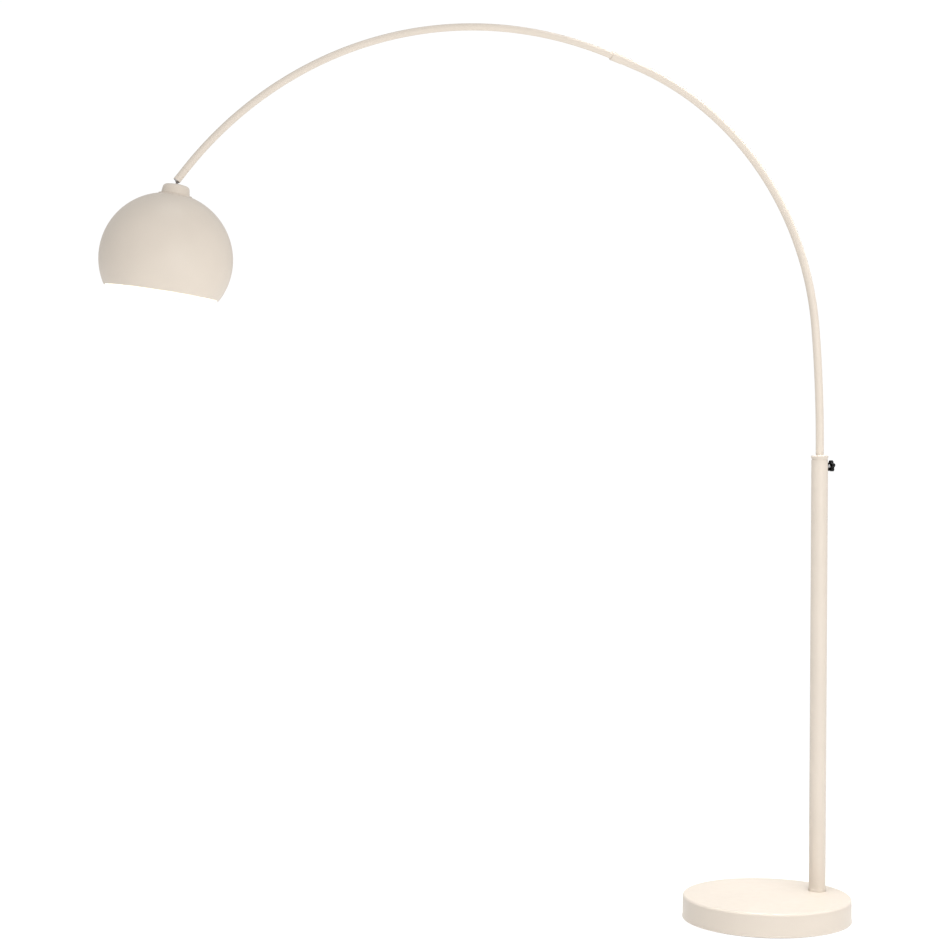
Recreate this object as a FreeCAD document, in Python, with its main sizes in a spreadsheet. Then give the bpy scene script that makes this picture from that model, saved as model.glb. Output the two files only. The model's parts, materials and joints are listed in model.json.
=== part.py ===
"""Arc floor lamp: drum base, off-centre pole, clamped sliding arc in two tubes, and a
spun dome shade on a ball joint at the tip.

Frame: origin at the centre of the base's underside, on the floor; +Z up; the pole stands
towards +X and the arc reaches over the base towards -X. Millimetres and degrees.
"""
import FreeCAD, Part
import math
import os
import types

import Sketcher

V = FreeCAD.Vector
UPRIGHT = V(0, 0, 1)
SIDEWAYS = V(0, 1, 0)

doc = FreeCAD.newDocument("ArcFloorLamp")

DIMENSIONS = {
    # base
    "BaseDiameter": 352,
    "BaseHeight": 50.3,
    "BaseEdgeRadius": 5.5,
    "ShellWall": 1.5,
    "ShellLift": 2,
    "HemBead": 0.8,
    "HemLip": 4,
    "PadThickness": 3.2,
    "PadDiameter": 338,
    "PlateThickness": 1.5,
    "WeightDiameter": 340,
    "WeightThickness": 22,
    "BaseScrewCircle": 290,
    "BaseScrewDiameter": 5,
    "CordInletHeight": 37,
    "CordInletBore": 7,
    # pole and collar
    "PoleOffset": 122.9,
    "PoleDiameter": 35,
    "PoleWall": 1.5,
    "PoleTopDrop": 9,
    "CollarTop": 971.7,
    "CollarRimDiameter": 37.2,
    "CollarNeckDiameter": 33,
    "CollarSpigotDepth": 50,
    "FootRingHeight": 5.5,
    "FootRingDiameter": 37.8,
    "TieBoltDiameter": 10,
    # clamp screw
    "ClampDrop": 21.6,
    "ClampScrewDiameter": 6,
    "KnobDiameter": 26,
    "KnobStart": 24,
    "KnobThickness": 10,
    # arc
    "LowerTubeDiameter": 17,
    "LowerTubeWall": 1.4,
    "UpperTubeDiameter": 14,
    "UpperTubeWall": 1.25,
    "ArcInsertion": 250,
    "ArcStraight": 16.3,
    "FirstBendRadius": 2595,
    "FirstBendAngle": 5.64,
    "SecondBendRadius": 601.9,
    "SecondBendAngle": 67.58,
    "CouplingStraight": 56,
    "CouplingLap": 4.5,
    "CouplingLength": 27,
    "CouplingDiameter": 18.8,
    "CouplingSocket": 14,
    "UpperInsertion": 34,
    "ThirdBendRadius": 824,
    "ThirdBendAngle": 13.35,
    "FourthBendRadius": 809,
    "FourthBendAngle": 56,
    "FerruleLength": 27,
    "LeadDiameter": 5,
    "RunningGap": 0.05,
    # ball joint and shade
    "BallDiameter": 10.6,
    "MouthReach": 2.6,
    "ShadeLean": 8.08,
    "ShadeDrop": 148.7,
    "ShadeDiameter": 246.5,
    "ShadeWall": 0.8,
    "ShadeCut": 62.8,
    "CapTopDrop": 9.8,
    "CapHeight": 17.7,
    "CapTopDiameter": 50,
    "CapDiameter": 53,
    "CapWall": 1.5,
    "SeatDiameter": 62.4,
    "NippleDiameter": 10,
    "HolderTopDrop": 39,
    "HolderDiameter": 39,
    "HolderLength": 56,
    "BulbTopDrop": 68.5,
    "BulbDiameter": 60,
    "BulbLength": 108,
}


class Size:
    """A dimension: its value now, and the expression that keeps it bound to the sheet."""

    def __init__(self, value, text):
        self.value = float(value)
        self.text = text

    def __add__(self, other):
        other = size(other)
        return Size(self.value + other.value, "(%s + %s)" % (self.text, other.text))

    def __sub__(self, other):
        other = size(other)
        return Size(self.value - other.value, "(%s - %s)" % (self.text, other.text))

    def __mul__(self, other):
        other = size(other)
        return Size(self.value * other.value, "(%s * %s)" % (self.text, other.text))

    def __truediv__(self, other):
        other = size(other)
        return Size(self.value / other.value, "(%s / %s)" % (self.text, other.text))

    def __neg__(self):
        return Size(0, "0") - self

    def __radd__(self, other):
        return size(other) + self

    def __rsub__(self, other):
        return size(other) - self


def size(number):
    """A plain number as a Size; a Size comes back as it is."""
    if isinstance(number, Size):
        return number
    return Size(number, "(%s)" % number)


def sine(angle):
    return Size(math.sin(math.radians(angle.value)), "sin(%s)" % angle.text)


def cosine(angle):
    return Size(math.cos(math.radians(angle.value)), "cos(%s)" % angle.text)


def leg(hypotenuse, other_leg):
    """The third side of a right-angled triangle."""
    hypotenuse, other_leg = size(hypotenuse), size(other_leg)
    value = math.sqrt(hypotenuse.value ** 2 - other_leg.value ** 2)
    text = "sqrt(%s ^ 2 - %s ^ 2)" % (hypotenuse.text, other_leg.text)
    return Size(value, text)


def make_sheet():
    """Write every driving dimension into the sheet, and hand each back as a Size."""
    sheet = doc.addObject("Spreadsheet::Sheet", "Dims")
    sizes = {}
    for row, (alias, number) in enumerate(DIMENSIONS.items(), start=1):
        cell = "A%d" % row
        sheet.set(cell, str(number))
        sheet.setAlias(cell, alias)
        sizes[alias] = Size(number, "Dims." + alias)
    doc.recompute()
    return sizes


D = types.SimpleNamespace(**make_sheet())

PARTS = []


class Place:
    """Where a sub-part's own frame stands: x and z of its origin, and its turn about Y or
    about another level line."""

    def __init__(self, x, z, turn=0, about=SIDEWAYS):
        self.x, self.z, self.turn = size(x), size(z), size(turn)
        self.about = about


def keep(piece, label, place):
    """Name a finished sub-part, bind its placement, and add it to the ones written out."""
    piece.Label = label
    piece.Placement = FreeCAD.Placement(V(0, 0, 0), FreeCAD.Rotation(place.about, 1))
    piece.setExpression("Placement.Base.x", place.x.text)
    piece.setExpression("Placement.Base.z", place.z.text)
    piece.setExpression("Placement.Rotation.Angle", place.turn.text)
    PARTS.append(piece)
    return piece


# ---------------------------------------------------------------- drawing helpers

def new_body(label, place):
    return keep(doc.addObject("PartDesign::Body", "Body"), label, place)


def origin_plane(body, role):
    return [item for item in body.Origin.OriginFeatures if item.Role == role][0]


def new_sketch(body, role):
    sketch = body.newObject("Sketcher::SketchObject", "Sketch")
    sketch.AttachmentSupport = [(origin_plane(body, role), "")]
    sketch.MapMode = "FlatFace"
    return sketch


def bind(sketch, kind, arguments, length):
    """Add a dimension whose value follows an expression."""
    index = sketch.addConstraint(Sketcher.Constraint(kind, *arguments, length.value))
    sketch.setExpression("Constraints[%d]" % index, length.text)


def pin(sketch, edge, end, corner):
    """Fix one end of an edge at a corner of the outline."""
    across, up = corner
    if across.value == 0:
        sketch.addConstraint(Sketcher.Constraint("PointOnObject", edge, end, -2))
    else:
        bind(sketch, "DistanceX", (-1, 1, edge, end), across)
    if up.value == 0:
        sketch.addConstraint(Sketcher.Constraint("PointOnObject", edge, end, -1))
    else:
        bind(sketch, "DistanceY", (-1, 1, edge, end), up)


def add_line(sketch, start, finish):
    return sketch.addGeometry(Part.LineSegment(start, finish), False), 1, 2


def add_arc(sketch, start, finish, radius, side):
    """An arc under half a turn; side +1 puts its centre on the left of the way it runs, -1 right."""
    along = finish - start
    rise = math.sqrt(max(radius.value ** 2 - (along.Length / 2) ** 2, 0))
    left = V(-along.y, along.x, 0).normalize()
    centre = (start + finish) / 2 + left * (side * rise)
    angles = [math.atan2(end.y - centre.y, end.x - centre.x) for end in (start, finish)]
    circle = Part.Circle(centre, UPRIGHT, radius.value)
    edge = sketch.addGeometry(Part.ArcOfCircle(circle, *angles[::side]), False)
    bind(sketch, "Radius", (edge,), radius)
    if side > 0:
        return edge, 1, 2
    return edge, 2, 1


def draw(sketch, outline, closed=True):
    """Draw an outline of (across, up) corners; (across, up, radius, side) arrives along an arc."""
    corners = [(size(step[0]), size(step[1])) for step in outline]
    points = [V(across.value, up.value, 0) for across, up in corners]
    edges = []
    for i in range(len(outline) if closed else len(outline) - 1):
        following = (i + 1) % len(outline)
        bend = outline[following][2:]
        if bend:
            edges.append(add_arc(sketch, points[i], points[following], size(bend[0]), bend[1]))
        else:
            edges.append(add_line(sketch, points[i], points[following]))
        pin(sketch, edges[i][0], edges[i][1], corners[i])
        if i:
            join(sketch, edges[i - 1], edges[i])
    if closed:
        join(sketch, edges[-1], edges[0])
    else:
        pin(sketch, edges[-1][0], edges[-1][2], corners[-1])


def join(sketch, before, after):
    """The end of one edge is the start of the next."""
    ends = (before[0], before[2], after[0], after[1])
    sketch.addConstraint(Sketcher.Constraint("Coincident", *ends))


def turned(label, outline, place):
    """A body of revolution about its own Z; the outline's corners are (radius, height)."""
    body = new_body(label, place)
    sketch = new_sketch(body, "XZ_Plane")
    draw(sketch, outline)
    revolution = body.newObject("PartDesign::Revolution", "Revolution")
    revolution.Profile = sketch
    revolution.ReferenceAxis = (sketch, ["V_Axis"])
    revolution.Angle = 360
    doc.recompute()
    return body


def ring(label, inner, outer, bottom, top, place):
    """A plain ring, or a disc where the inner radius is 0."""
    outline = [(inner, bottom), (outer, bottom), (outer, top), (inner, top)]
    return turned(label, outline, place)


def drill(body, radius, length, x, z, y=0, sideways=True):
    """Cut a round hole, along +X or along +Z, starting at x, y, z of the body's own frame."""
    before = body.Shape.Volume
    hole = body.newObject("PartDesign::SubtractiveCylinder", "Hole")
    hole.AttachmentSupport = [(origin_plane(body, "XY_Plane"), "")]
    hole.MapMode = "FlatFace"
    turn = FreeCAD.Rotation(SIDEWAYS, 90 if sideways else 0)
    hole.AttachmentOffset = FreeCAD.Placement(V(0, 0, 0), turn)
    for axis, place in zip("xyz", (x, y, z)):
        hole.setExpression("AttachmentOffset.Base." + axis, size(place).text)
    hole.setExpression("Radius", size(radius).text)
    hole.setExpression("Height", size(length).text)
    doc.recompute()
    if not body.Shape.Volume < before:
        raise RuntimeError("a hole in %s cuts nothing" % body.Label)


def solid(kind, place=(0, 0, 0), **sizes):
    """A Part primitive standing at place, with its sizes bound."""
    piece = doc.addObject(kind, kind.split("::")[1])
    for name, length in sizes.items():
        piece.setExpression(name, size(length).text)
    for axis, length in zip("xyz", place):
        piece.setExpression("Placement.Base." + axis, size(length).text)
    return piece


def hexagon(flats, bottom, height):
    """A hexagonal prism, given across its flats."""
    prism = solid("Part::Prism", (0, 0, bottom), Circumradius=size(flats) / math.sqrt(3), Height=height)
    prism.Polygon = 6
    return prism


def hex_nut(label, flats, bore, bottom, height, place):
    nut = doc.addObject("Part::Cut", "Nut")
    nut.Base = hexagon(flats, bottom, height)
    nut.Tool = solid("Part::Cylinder", (0, 0, bottom), Radius=bore, Height=height)
    return keep(nut, label, place)


# ---------------------------------------------------------------- the arc's centre line

def run(length):
    return (size(length),)


def bend(radius, angle):
    return (size(radius), size(angle))


def route(pieces):
    """Corners of a line that starts upwards at 0, 0 and bends towards -X, and its last heading."""
    x, z, heading = size(0), size(0), size(0)
    outline = [(x, z)]
    for piece in pieces:
        if len(piece) == 1:
            x, z = x - piece[0] * sine(heading), z + piece[0] * cosine(heading)
            outline.append((x, z))
        else:
            radius, angle = piece
            x = x + radius * (cosine(heading + angle) - cosine(heading))
            z = z + radius * (sine(heading + angle) - sine(heading))
            heading = heading + angle
            outline.append((x, z, radius, 1))
    return outline, heading


def place_along(pieces):
    """The frame at the end of a stretch of the arc, with its Z along the arc."""
    outline, heading = route(pieces)
    return Place(D.PoleOffset + outline[-1][0], ARC_FOOT + outline[-1][1], -heading)


def bent(label, pieces, radius, wall, place):
    """A round tube along a route, or a solid rod where wall is 0."""
    body = new_body(label, place)
    path = new_sketch(body, "XZ_Plane")
    draw(path, route(pieces)[0], closed=False)
    section = new_sketch(body, "XY_Plane")
    radii = [size(radius)]
    if wall:
        radii.append(size(radius) - wall)
    for edge, length in enumerate(radii):
        section.addGeometry(Part.Circle(V(0, 0, 0), UPRIGHT, length.value), False)
        section.addConstraint(Sketcher.Constraint("Coincident", edge, 3, -1, 1))
        bind(section, "Radius", (edge,), length)
    pipe = body.newObject("PartDesign::AdditivePipe", "Pipe")
    pipe.Profile = section
    pipe.Spine = (path, [""])
    doc.recompute()
    return body


# ---------------------------------------------------------------- shared sizes and frames

FLOOR = Place(0, 0)
SHELL_R = D.BaseDiameter / 2 - D.HemBead
POLE_R = D.PoleDiameter / 2
POLE_BORE = POLE_R - D.PoleWall
PLATE_TOP = D.PadThickness + D.PlateThickness
WEIGHT_TOP = PLATE_TOP + D.WeightThickness
POLE_FRAME = Place(D.PoleOffset, 0)
COLLAR_FRAME = Place(D.PoleOffset, D.CollarTop)
CLAMP_FRAME = Place(D.PoleOffset, D.CollarTop - D.ClampDrop, 90)
ARC_FOOT = D.CollarTop - D.ArcInsertion
FOOT_FRAME = Place(D.PoleOffset, ARC_FOOT)
LOWER_R = D.LowerTubeDiameter / 2
UPPER_R = D.UpperTubeDiameter / 2
BUSH_BORE = LOWER_R + D.RunningGap
BUSH_R = LOWER_R + 1.1
SCREW_R = D.ClampScrewDiameter / 2

LOWER_BENDS = [
    run(D.ArcInsertion + D.ArcStraight),
    bend(D.FirstBendRadius, D.FirstBendAngle),
    bend(D.SecondBendRadius, D.SecondBendAngle),
]
UPPER_BENDS = [
    bend(D.ThirdBendRadius, D.ThirdBendAngle),
    bend(D.FourthBendRadius, D.FourthBendAngle),
]
TO_SOCKET = D.CouplingStraight + D.CouplingLap - D.CouplingSocket
TO_COUPLING = LOWER_BENDS + [run(TO_SOCKET + D.CouplingSocket - D.CouplingLength)]
TO_UPPER_TUBE = LOWER_BENDS + [run(TO_SOCKET - D.UpperInsertion)]
TO_BALL = LOWER_BENDS + [run(D.CouplingStraight)] + UPPER_BENDS + [run(D.FerruleLength - D.MouthReach)]

TIP_FRAME = place_along(TO_BALL)
# The shade leans away from the pole, and a little out of the arc's plane, towards +Y.
LEAN_HEADING = math.radians(26.1)
LEAN_AXIS = V(math.sin(LEAN_HEADING), math.cos(LEAN_HEADING), 0)
HEAD_FRAME = Place(TIP_FRAME.x, TIP_FRAME.z, D.ShadeLean, LEAN_AXIS)
BALL_R = D.BallDiameter / 2
SHADE_R = D.ShadeDiameter / 2
LEAD_R = D.LeadDiameter / 2
NIPPLE_R = D.NippleDiameter / 2

END_GAP = 0.3
FIT_GAP = 0.05
LOOSE_GAP = 0.2
SCREW_DEPTH = 14
TIE_POCKET_R = 18
TIE_POCKET_DEPTH = 12
WASHER_THICKNESS = 2
PLUG_THICKNESS = 7
GROMMET_R = 5
GROMMET_LIP = 1.6
BLOCK_START = 20
BLOCK_LENGTH = 14
BLOCK_WIDTH = 22
BLOCK_HEIGHT = 13
LEAD_TAIL = 20
LEAD_RISE = 600
INSERT_R = 4.5
PAD_FACE = 8.8
PAD_BACK = 11.6
PAD_PIN_R = 1.2
STUD_END = 31.6
KNOB_CORE_R = 9.6
KNOB_LOBES = 5
KNOB_TURN = math.radians(13)
BUSH_DEPTH = 3
COLLAR_DOME = 1.3
COLLAR_DOME_R = 45
GUIDE_HEIGHT = 30
GUIDE_STOP_R = 11.5
GRUB_R = 2
GRUB_LENGTH = 2.4
GRUB_SETBACK = 8
CHAMBER_R = 6.1
CHAMBER_END = -13
LEAD_END = CHAMBER_END - 1
SEAT_BACK = -6
PRELOAD_BORE = 3.1
FERRULE_SPIGOT_BORE = 4
NECK_R = 2.4
NECK_BORE = 1.5
NECK_HEAD_R = 2.8
CAP_APEX = 1.8 - D.CapTopDrop
SEAT_EDGE = 1.6
WASHER_R = 12
CROWN_UNDER = leg(SHADE_R - D.ShadeWall, WASHER_R) - D.ShadeDrop
NIPPLE_ENTRY = 10
NUT_FLATS = 17
NUT_HEIGHT = 5
CROWN_WASHER = 1.5
HOLDER_SPLIT = 18
HOLDER_WALL = 1.5
CORE_DROP = 14
CONTACT_HEIGHT = 4
THREAD_R = 13.1
THREAD_WALL = 0.6
THREAD_DEPTH = 24
BULB_CAP_HEIGHT = 25

# ---------------------------------------------------------------- base

def floor_pad():
    ring("floor_pad", 0, D.PadDiameter / 2, 0, D.PadThickness, FLOOR)


def base_plate():
    body = ring("base_plate", 0, SHELL_R - D.ShellWall - LOOSE_GAP, D.PadThickness, PLATE_TOP, FLOOR)
    drill(body, TIE_POCKET_R + 1, D.PlateThickness, D.PoleOffset, D.PadThickness, sideways=False)
    for x, y in screw_places():
        drill(body, D.BaseScrewDiameter, D.PlateThickness, x, D.PadThickness, y, sideways=False)


def screw_places():
    """The four base screws stand on a circle, a quarter turn apart."""
    reach = D.BaseScrewCircle / 2 * math.sqrt(0.5)
    return [(reach, reach), (reach, -reach), (-reach, reach), (-reach, -reach)]


def base_screws():
    pieces = []
    for x, y in screw_places():
        pieces.append(solid("Part::Cylinder", (x, y, D.PadThickness), Radius=D.BaseScrewDiameter,
                            Height=D.PlateThickness))
        pieces.append(solid("Part::Cylinder", (x, y, PLATE_TOP), Radius=D.BaseScrewDiameter / 2,
                            Height=SCREW_DEPTH))
    screws = doc.addObject("Part::MultiFuse", "Screws")
    screws.Shapes = pieces
    keep(screws, "base_screws", FLOOR)


def base_weight():
    body = ring("base_weight", 0, D.WeightDiameter / 2, PLATE_TOP, WEIGHT_TOP, FLOOR)
    drill(body, TIE_POCKET_R, TIE_POCKET_DEPTH, D.PoleOffset, PLATE_TOP, sideways=False)
    drill(body, D.TieBoltDiameter / 2 + END_GAP, D.WeightThickness, D.PoleOffset, PLATE_TOP, sideways=False)
    for x, y in screw_places():
        drill(body, D.BaseScrewDiameter / 2, SCREW_DEPTH, x, PLATE_TOP, y, sideways=False)


def base_shell():
    """A spun drum with a rounded shoulder, a small rolled bead and a lip turned under the plate."""
    lip_top = D.PadThickness
    inner = SHELL_R - D.ShellWall
    shoulder = D.BaseEdgeRadius
    bead = SHELL_R + D.HemBead
    slope = 1
    bead_low, bead_high = D.ShellLift + slope, D.ShellLift + 2.6
    body = turned("base_shell", [
        (0, D.BaseHeight - D.ShellWall),
        (inner + D.ShellWall - shoulder, D.BaseHeight - D.ShellWall),
        (inner, D.BaseHeight - shoulder, shoulder - D.ShellWall, -1),
        (inner, lip_top),
        (inner - D.HemLip, lip_top),
        (inner - D.HemLip, D.ShellLift),
        (bead - slope, D.ShellLift),
        (bead, bead_low),
        (bead, bead_high),
        (SHELL_R, bead_high + slope),
        (SHELL_R, D.BaseHeight - shoulder),
        (SHELL_R - shoulder, D.BaseHeight, shoulder, 1),
        (0, D.BaseHeight),
    ], FLOOR)
    drill(body, POLE_R + LOOSE_GAP, D.ShellWall, D.PoleOffset, D.BaseHeight - D.ShellWall, sideways=False)
    drill(body, GROMMET_R, D.HemLip * 2, SHELL_R - D.HemLip, D.CordInletHeight)


def cord_grommet():
    """A rubber bush in the drum's side, flanged on both faces, where a mains cord enters."""
    flange = GROMMET_R + GROMMET_LIP
    outside = SHELL_R + FIT_GAP
    inside = SHELL_R - D.ShellWall - LOOSE_GAP
    back, front, slope = 2.5, 2, 0.8
    turned("cord_grommet", [
        (D.CordInletBore / 2, inside - back),
        (flange, inside - back),
        (flange, inside),
        (GROMMET_R, inside),
        (GROMMET_R, outside),
        (flange, outside),
        (flange - slope, outside + front),
        (D.CordInletBore / 2, outside + front),
    ], Place(0, D.CordInletHeight, 90))


def terminal_block():
    """Where the mains cord is meant to meet the lamp's own lead."""
    block = solid("Part::Box", Length=BLOCK_LENGTH, Width=BLOCK_WIDTH, Height=BLOCK_HEIGHT)
    keep(block, "terminal_block", Place(D.PoleOffset + BLOCK_START, WEIGHT_TOP))
    block.setExpression("Placement.Base.y", str(-BLOCK_WIDTH / 2))


# ---------------------------------------------------------------- pole

def pole():
    top = D.CollarTop - D.PoleTopDrop
    body = ring("pole", POLE_BORE, POLE_R, WEIGHT_TOP, top, POLE_FRAME)
    drill(body, SCREW_R + 3 * LOOSE_GAP, D.PoleDiameter, 0, D.CollarTop - D.ClampDrop)
    drill(body, LEAD_R + D.PoleWall, D.PoleDiameter, 0, D.CordInletHeight)


def pole_foot_ring():
    outer = D.FootRingDiameter / 2
    top = D.BaseHeight + D.FootRingHeight
    round_edge = 0.8
    turned("pole_foot_ring", [
        (POLE_R, D.BaseHeight),
        (outer, D.BaseHeight),
        (outer, top - round_edge),
        (outer - round_edge, top, round_edge, 1),
        (POLE_R, top),
    ], POLE_FRAME)


def pole_plug():
    ring("pole_plug", D.TieBoltDiameter / 2, POLE_BORE, WEIGHT_TOP, WEIGHT_TOP + PLUG_THICKNESS, POLE_FRAME)


def tie_washer():
    top = PLATE_TOP + TIE_POCKET_DEPTH
    ring("tie_washer", D.TieBoltDiameter / 2, WASHER_R, top - WASHER_THICKNESS, top, POLE_FRAME)


def tie_bolt():
    head_top = PLATE_TOP + TIE_POCKET_DEPTH - WASHER_THICKNESS
    flats, head_height = 16, 6.4
    head = hexagon(flats, head_top - head_height, head_height)
    shank = solid("Part::Cylinder", (0, 0, head_top), Radius=D.TieBoltDiameter / 2,
                  Height=WEIGHT_TOP + PLUG_THICKNESS - head_top)
    bolt = doc.addObject("Part::Fuse", "Bolt")
    bolt.Base = head
    bolt.Tool = shank
    keep(bolt, "tie_bolt", POLE_FRAME)


def pole_collar():
    """A turned end piece: shallow dome, thin rim, cone down to a neck, and a spigot in the pole."""
    rim = D.CollarRimDiameter / 2
    neck = D.CollarNeckDiameter / 2
    throat = LOWER_R + 2 * LOOSE_GAP
    step = -D.PoleTopDrop
    land, edge, edge_r = 1, 1.2, 0.7
    body = turned("pole_collar", [
        (BUSH_R, -D.CollarSpigotDepth),
        (POLE_BORE - FIT_GAP, -D.CollarSpigotDepth),
        (POLE_BORE - FIT_GAP, step),
        (neck, step),
        (neck, step + land),
        (rim, -edge),
        (rim - 2 * LOOSE_GAP, 0, edge_r, 1),
        (throat, COLLAR_DOME, COLLAR_DOME_R, 1),
        (throat, -BUSH_DEPTH),
        (BUSH_R, -BUSH_DEPTH),
    ], COLLAR_FRAME)
    drill(body, INSERT_R, POLE_R, 0, -D.ClampDrop)


def collar_bush():
    body = ring("collar_bush", BUSH_BORE, BUSH_R, 2 - D.CollarSpigotDepth, -BUSH_DEPTH, COLLAR_FRAME)
    drill(body, SCREW_R + 2 * LOOSE_GAP, POLE_R, 0, -D.ClampDrop)


# ---------------------------------------------------------------- clamp screw, on its own axis

def clamp_insert():
    """A brass thread pressed in the collar's spigot, just outside the bush."""
    start, end = BUSH_R + LOOSE_GAP, POLE_BORE - 1
    ring("clamp_insert", SCREW_R + D.RunningGap, INSERT_R, start, end, CLAMP_FRAME)


def clamp_pad():
    """A soft pad with a pin that turns in the stud's end, so that the screw doesn't mar the tube."""
    radius, slope, pin = SCREW_R - 0.1, 0.4, 3
    turned("clamp_pad", [
        (0, PAD_FACE),
        (radius - slope, PAD_FACE),
        (radius, PAD_FACE + slope),
        (radius, PAD_BACK),
        (PAD_PIN_R, PAD_BACK),
        (PAD_PIN_R, PAD_BACK + pin),
        (0, PAD_BACK + pin),
    ], CLAMP_FRAME)


def clamp_stud():
    start = PAD_BACK + END_GAP
    bore, slope, depth = PAD_PIN_R + D.RunningGap, 0.4, 3.4
    turned("clamp_stud", [
        (bore, start),
        (SCREW_R - slope, start),
        (SCREW_R, start + slope),
        (SCREW_R, STUD_END),
        (0, STUD_END),
        (0, start + depth),
        (bore, start + depth),
    ], CLAMP_FRAME)


def clamp_knob():
    """A star knob with a domed face and round lobes, moulded on the stud."""
    back = D.KnobStart
    face = D.KnobStart + D.KnobThickness
    dome, lobe_r = 2.4, 3.9
    dome_r = (KNOB_CORE_R ** 2 + dome ** 2) / (2 * dome)
    body = turned("clamp_knob", [
        (SCREW_R, back),
        (KNOB_CORE_R, back),
        (KNOB_CORE_R, face - dome),
        (0, face, dome_r, 1),
        (0, STUD_END),
        (SCREW_R, STUD_END),
    ], CLAMP_FRAME)
    lobe = body.newObject("PartDesign::AdditiveCylinder", "Lobe")
    lobe.AttachmentSupport = [(origin_plane(body, "XY_Plane"), "")]
    lobe.MapMode = "FlatFace"
    reach = D.KnobDiameter / 2 - lobe_r
    lobe.setExpression("AttachmentOffset.Base.x", (-reach * math.sin(KNOB_TURN)).text)
    lobe.setExpression("AttachmentOffset.Base.y", (-reach * math.cos(KNOB_TURN)).text)
    lobe.setExpression("AttachmentOffset.Base.z", back.text)
    lobe.setExpression("Radius", str(lobe_r))
    lobe.setExpression("Height", (D.KnobThickness - dome).text)
    doc.recompute()
    pattern = body.newObject("PartDesign::PolarPattern", "Lobes")
    pattern.Originals = [lobe]
    pattern.Axis = (origin_plane(body, "Z_Axis"), [""])
    pattern.Angle = 360
    pattern.Occurrences = KNOB_LOBES
    body.Tip = pattern
    doc.recompute()


# ---------------------------------------------------------------- arc

def guide_ring():
    """A nylon ring that centres the arc's lower end in the pole; the arc turns inside it."""
    gap = 0.08
    ring("guide_ring", LOWER_R + gap, POLE_BORE - gap, END_GAP, GUIDE_HEIGHT, FOOT_FRAME)


def guide_end_stop():
    """A nylon plug in the arc's foot, with a flange under the guide ring and a bore for the lead."""
    bore, flange, spigot = LEAD_R + 0.5, 4, 12
    turned("guide_end_stop", [
        (bore, -flange),
        (GUIDE_STOP_R, -flange),
        (GUIDE_STOP_R, 0),
        (LOWER_R - D.LowerTubeWall, 0),
        (LOWER_R - D.LowerTubeWall, spigot),
        (bore, spigot),
    ], FOOT_FRAME)


def guide_clip():
    bottom, thickness = GUIDE_HEIGHT + END_GAP, 1.4
    ring("guide_clip", LOWER_R, GUIDE_STOP_R, bottom, bottom + thickness, FOOT_FRAME)


def arc_lower_tube():
    pieces = LOWER_BENDS + [run(TO_SOCKET)]
    bent("arc_lower_tube", pieces, LOWER_R, D.LowerTubeWall, FOOT_FRAME)


def arc_coupling():
    """A stepped sleeve: wide socket over the lower tube, narrow one round the upper tube, and a
    mouth that is eased where the upper tube starts to bend."""
    outer, end = D.CouplingDiameter / 2, D.CouplingLength
    step = end - D.CouplingSocket
    taper, lip_start, lip_end, lip_height, lip_r = 5, end - 4.2, end - 3.4, 0.3, 1.5
    body = turned("arc_coupling", [
        (LOWER_R, 0),
        (LOWER_R + 0.4, 0),
        (outer, taper),
        (outer, lip_start),
        (outer + lip_height, lip_end),
        (outer + lip_height, end - lip_r),
        (outer + lip_height - lip_r, end, lip_r, 1),
        (UPPER_R + FIT_GAP, end),
        (UPPER_R + FIT_GAP, end - D.CouplingLap),
        (UPPER_R, end - D.CouplingLap),
        (UPPER_R, step),
        (LOWER_R, step),
    ], place_along(TO_COUPLING))
    drill(body, GRUB_R, D.CouplingDiameter, 0, end - GRUB_SETBACK)


def coupling_grub_screw():
    """It bears on the upper tube, in the outer curve of the coupling."""
    body = new_body("coupling_grub_screw", place_along(TO_COUPLING))
    screw = body.newObject("PartDesign::AdditiveCylinder", "Screw")
    screw.AttachmentSupport = [(origin_plane(body, "XY_Plane"), "")]
    screw.MapMode = "FlatFace"
    screw.AttachmentOffset = FreeCAD.Placement(V(0, 0, 0), FreeCAD.Rotation(SIDEWAYS, 90))
    screw.setExpression("AttachmentOffset.Base.x", (UPPER_R + 0.02).text)
    screw.setExpression("AttachmentOffset.Base.z", (D.CouplingLength - GRUB_SETBACK).text)
    screw.setExpression("Radius", str(GRUB_R))
    screw.setExpression("Height", str(GRUB_LENGTH))
    doc.recompute()


def arc_upper_tube():
    pieces = [run(D.CouplingSocket + D.UpperInsertion - D.CouplingLap)] + UPPER_BENDS
    bent("arc_upper_tube", pieces, UPPER_R, D.UpperTubeWall, place_along(TO_UPPER_TUBE))


def lead_in_arc():
    pieces = [run(D.ArcInsertion + D.ArcStraight + LEAD_TAIL)] + LOWER_BENDS[1:]
    pieces += [run(D.CouplingStraight)] + UPPER_BENDS + [run(D.FerruleLength - D.MouthReach + LEAD_END)]
    bent("lead_in_arc", pieces, LEAD_R, 0, Place(D.PoleOffset, ARC_FOOT - LEAD_TAIL))


def lead_in_pole():
    """From the terminal block up the pole, ending well below the arc at its lowest."""
    turn_r = D.LeadDiameter * 2.4
    body = new_body("lead_in_pole", Place(D.PoleOffset, D.CordInletHeight))
    path = new_sketch(body, "XZ_Plane")
    draw(path, [(BLOCK_START, 0), (turn_r, 0), (0, turn_r, turn_r, -1), (0, LEAD_RISE)], closed=False)
    section = new_sketch(body, "YZ_Plane")
    section.setExpression("AttachmentOffset.Base.z", str(BLOCK_START))
    section.addGeometry(Part.Circle(V(0, 0, 0), UPRIGHT, LEAD_R.value), False)
    section.addConstraint(Sketcher.Constraint("Coincident", 0, 3, -1, 1))
    bind(section, "Radius", (0,), LEAD_R)
    pipe = body.newObject("PartDesign::AdditivePipe", "Pipe")
    pipe.Profile = section
    pipe.Spine = (path, [""])
    doc.recompute()


# ---------------------------------------------------------------- ball joint, at the arc's tip

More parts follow.
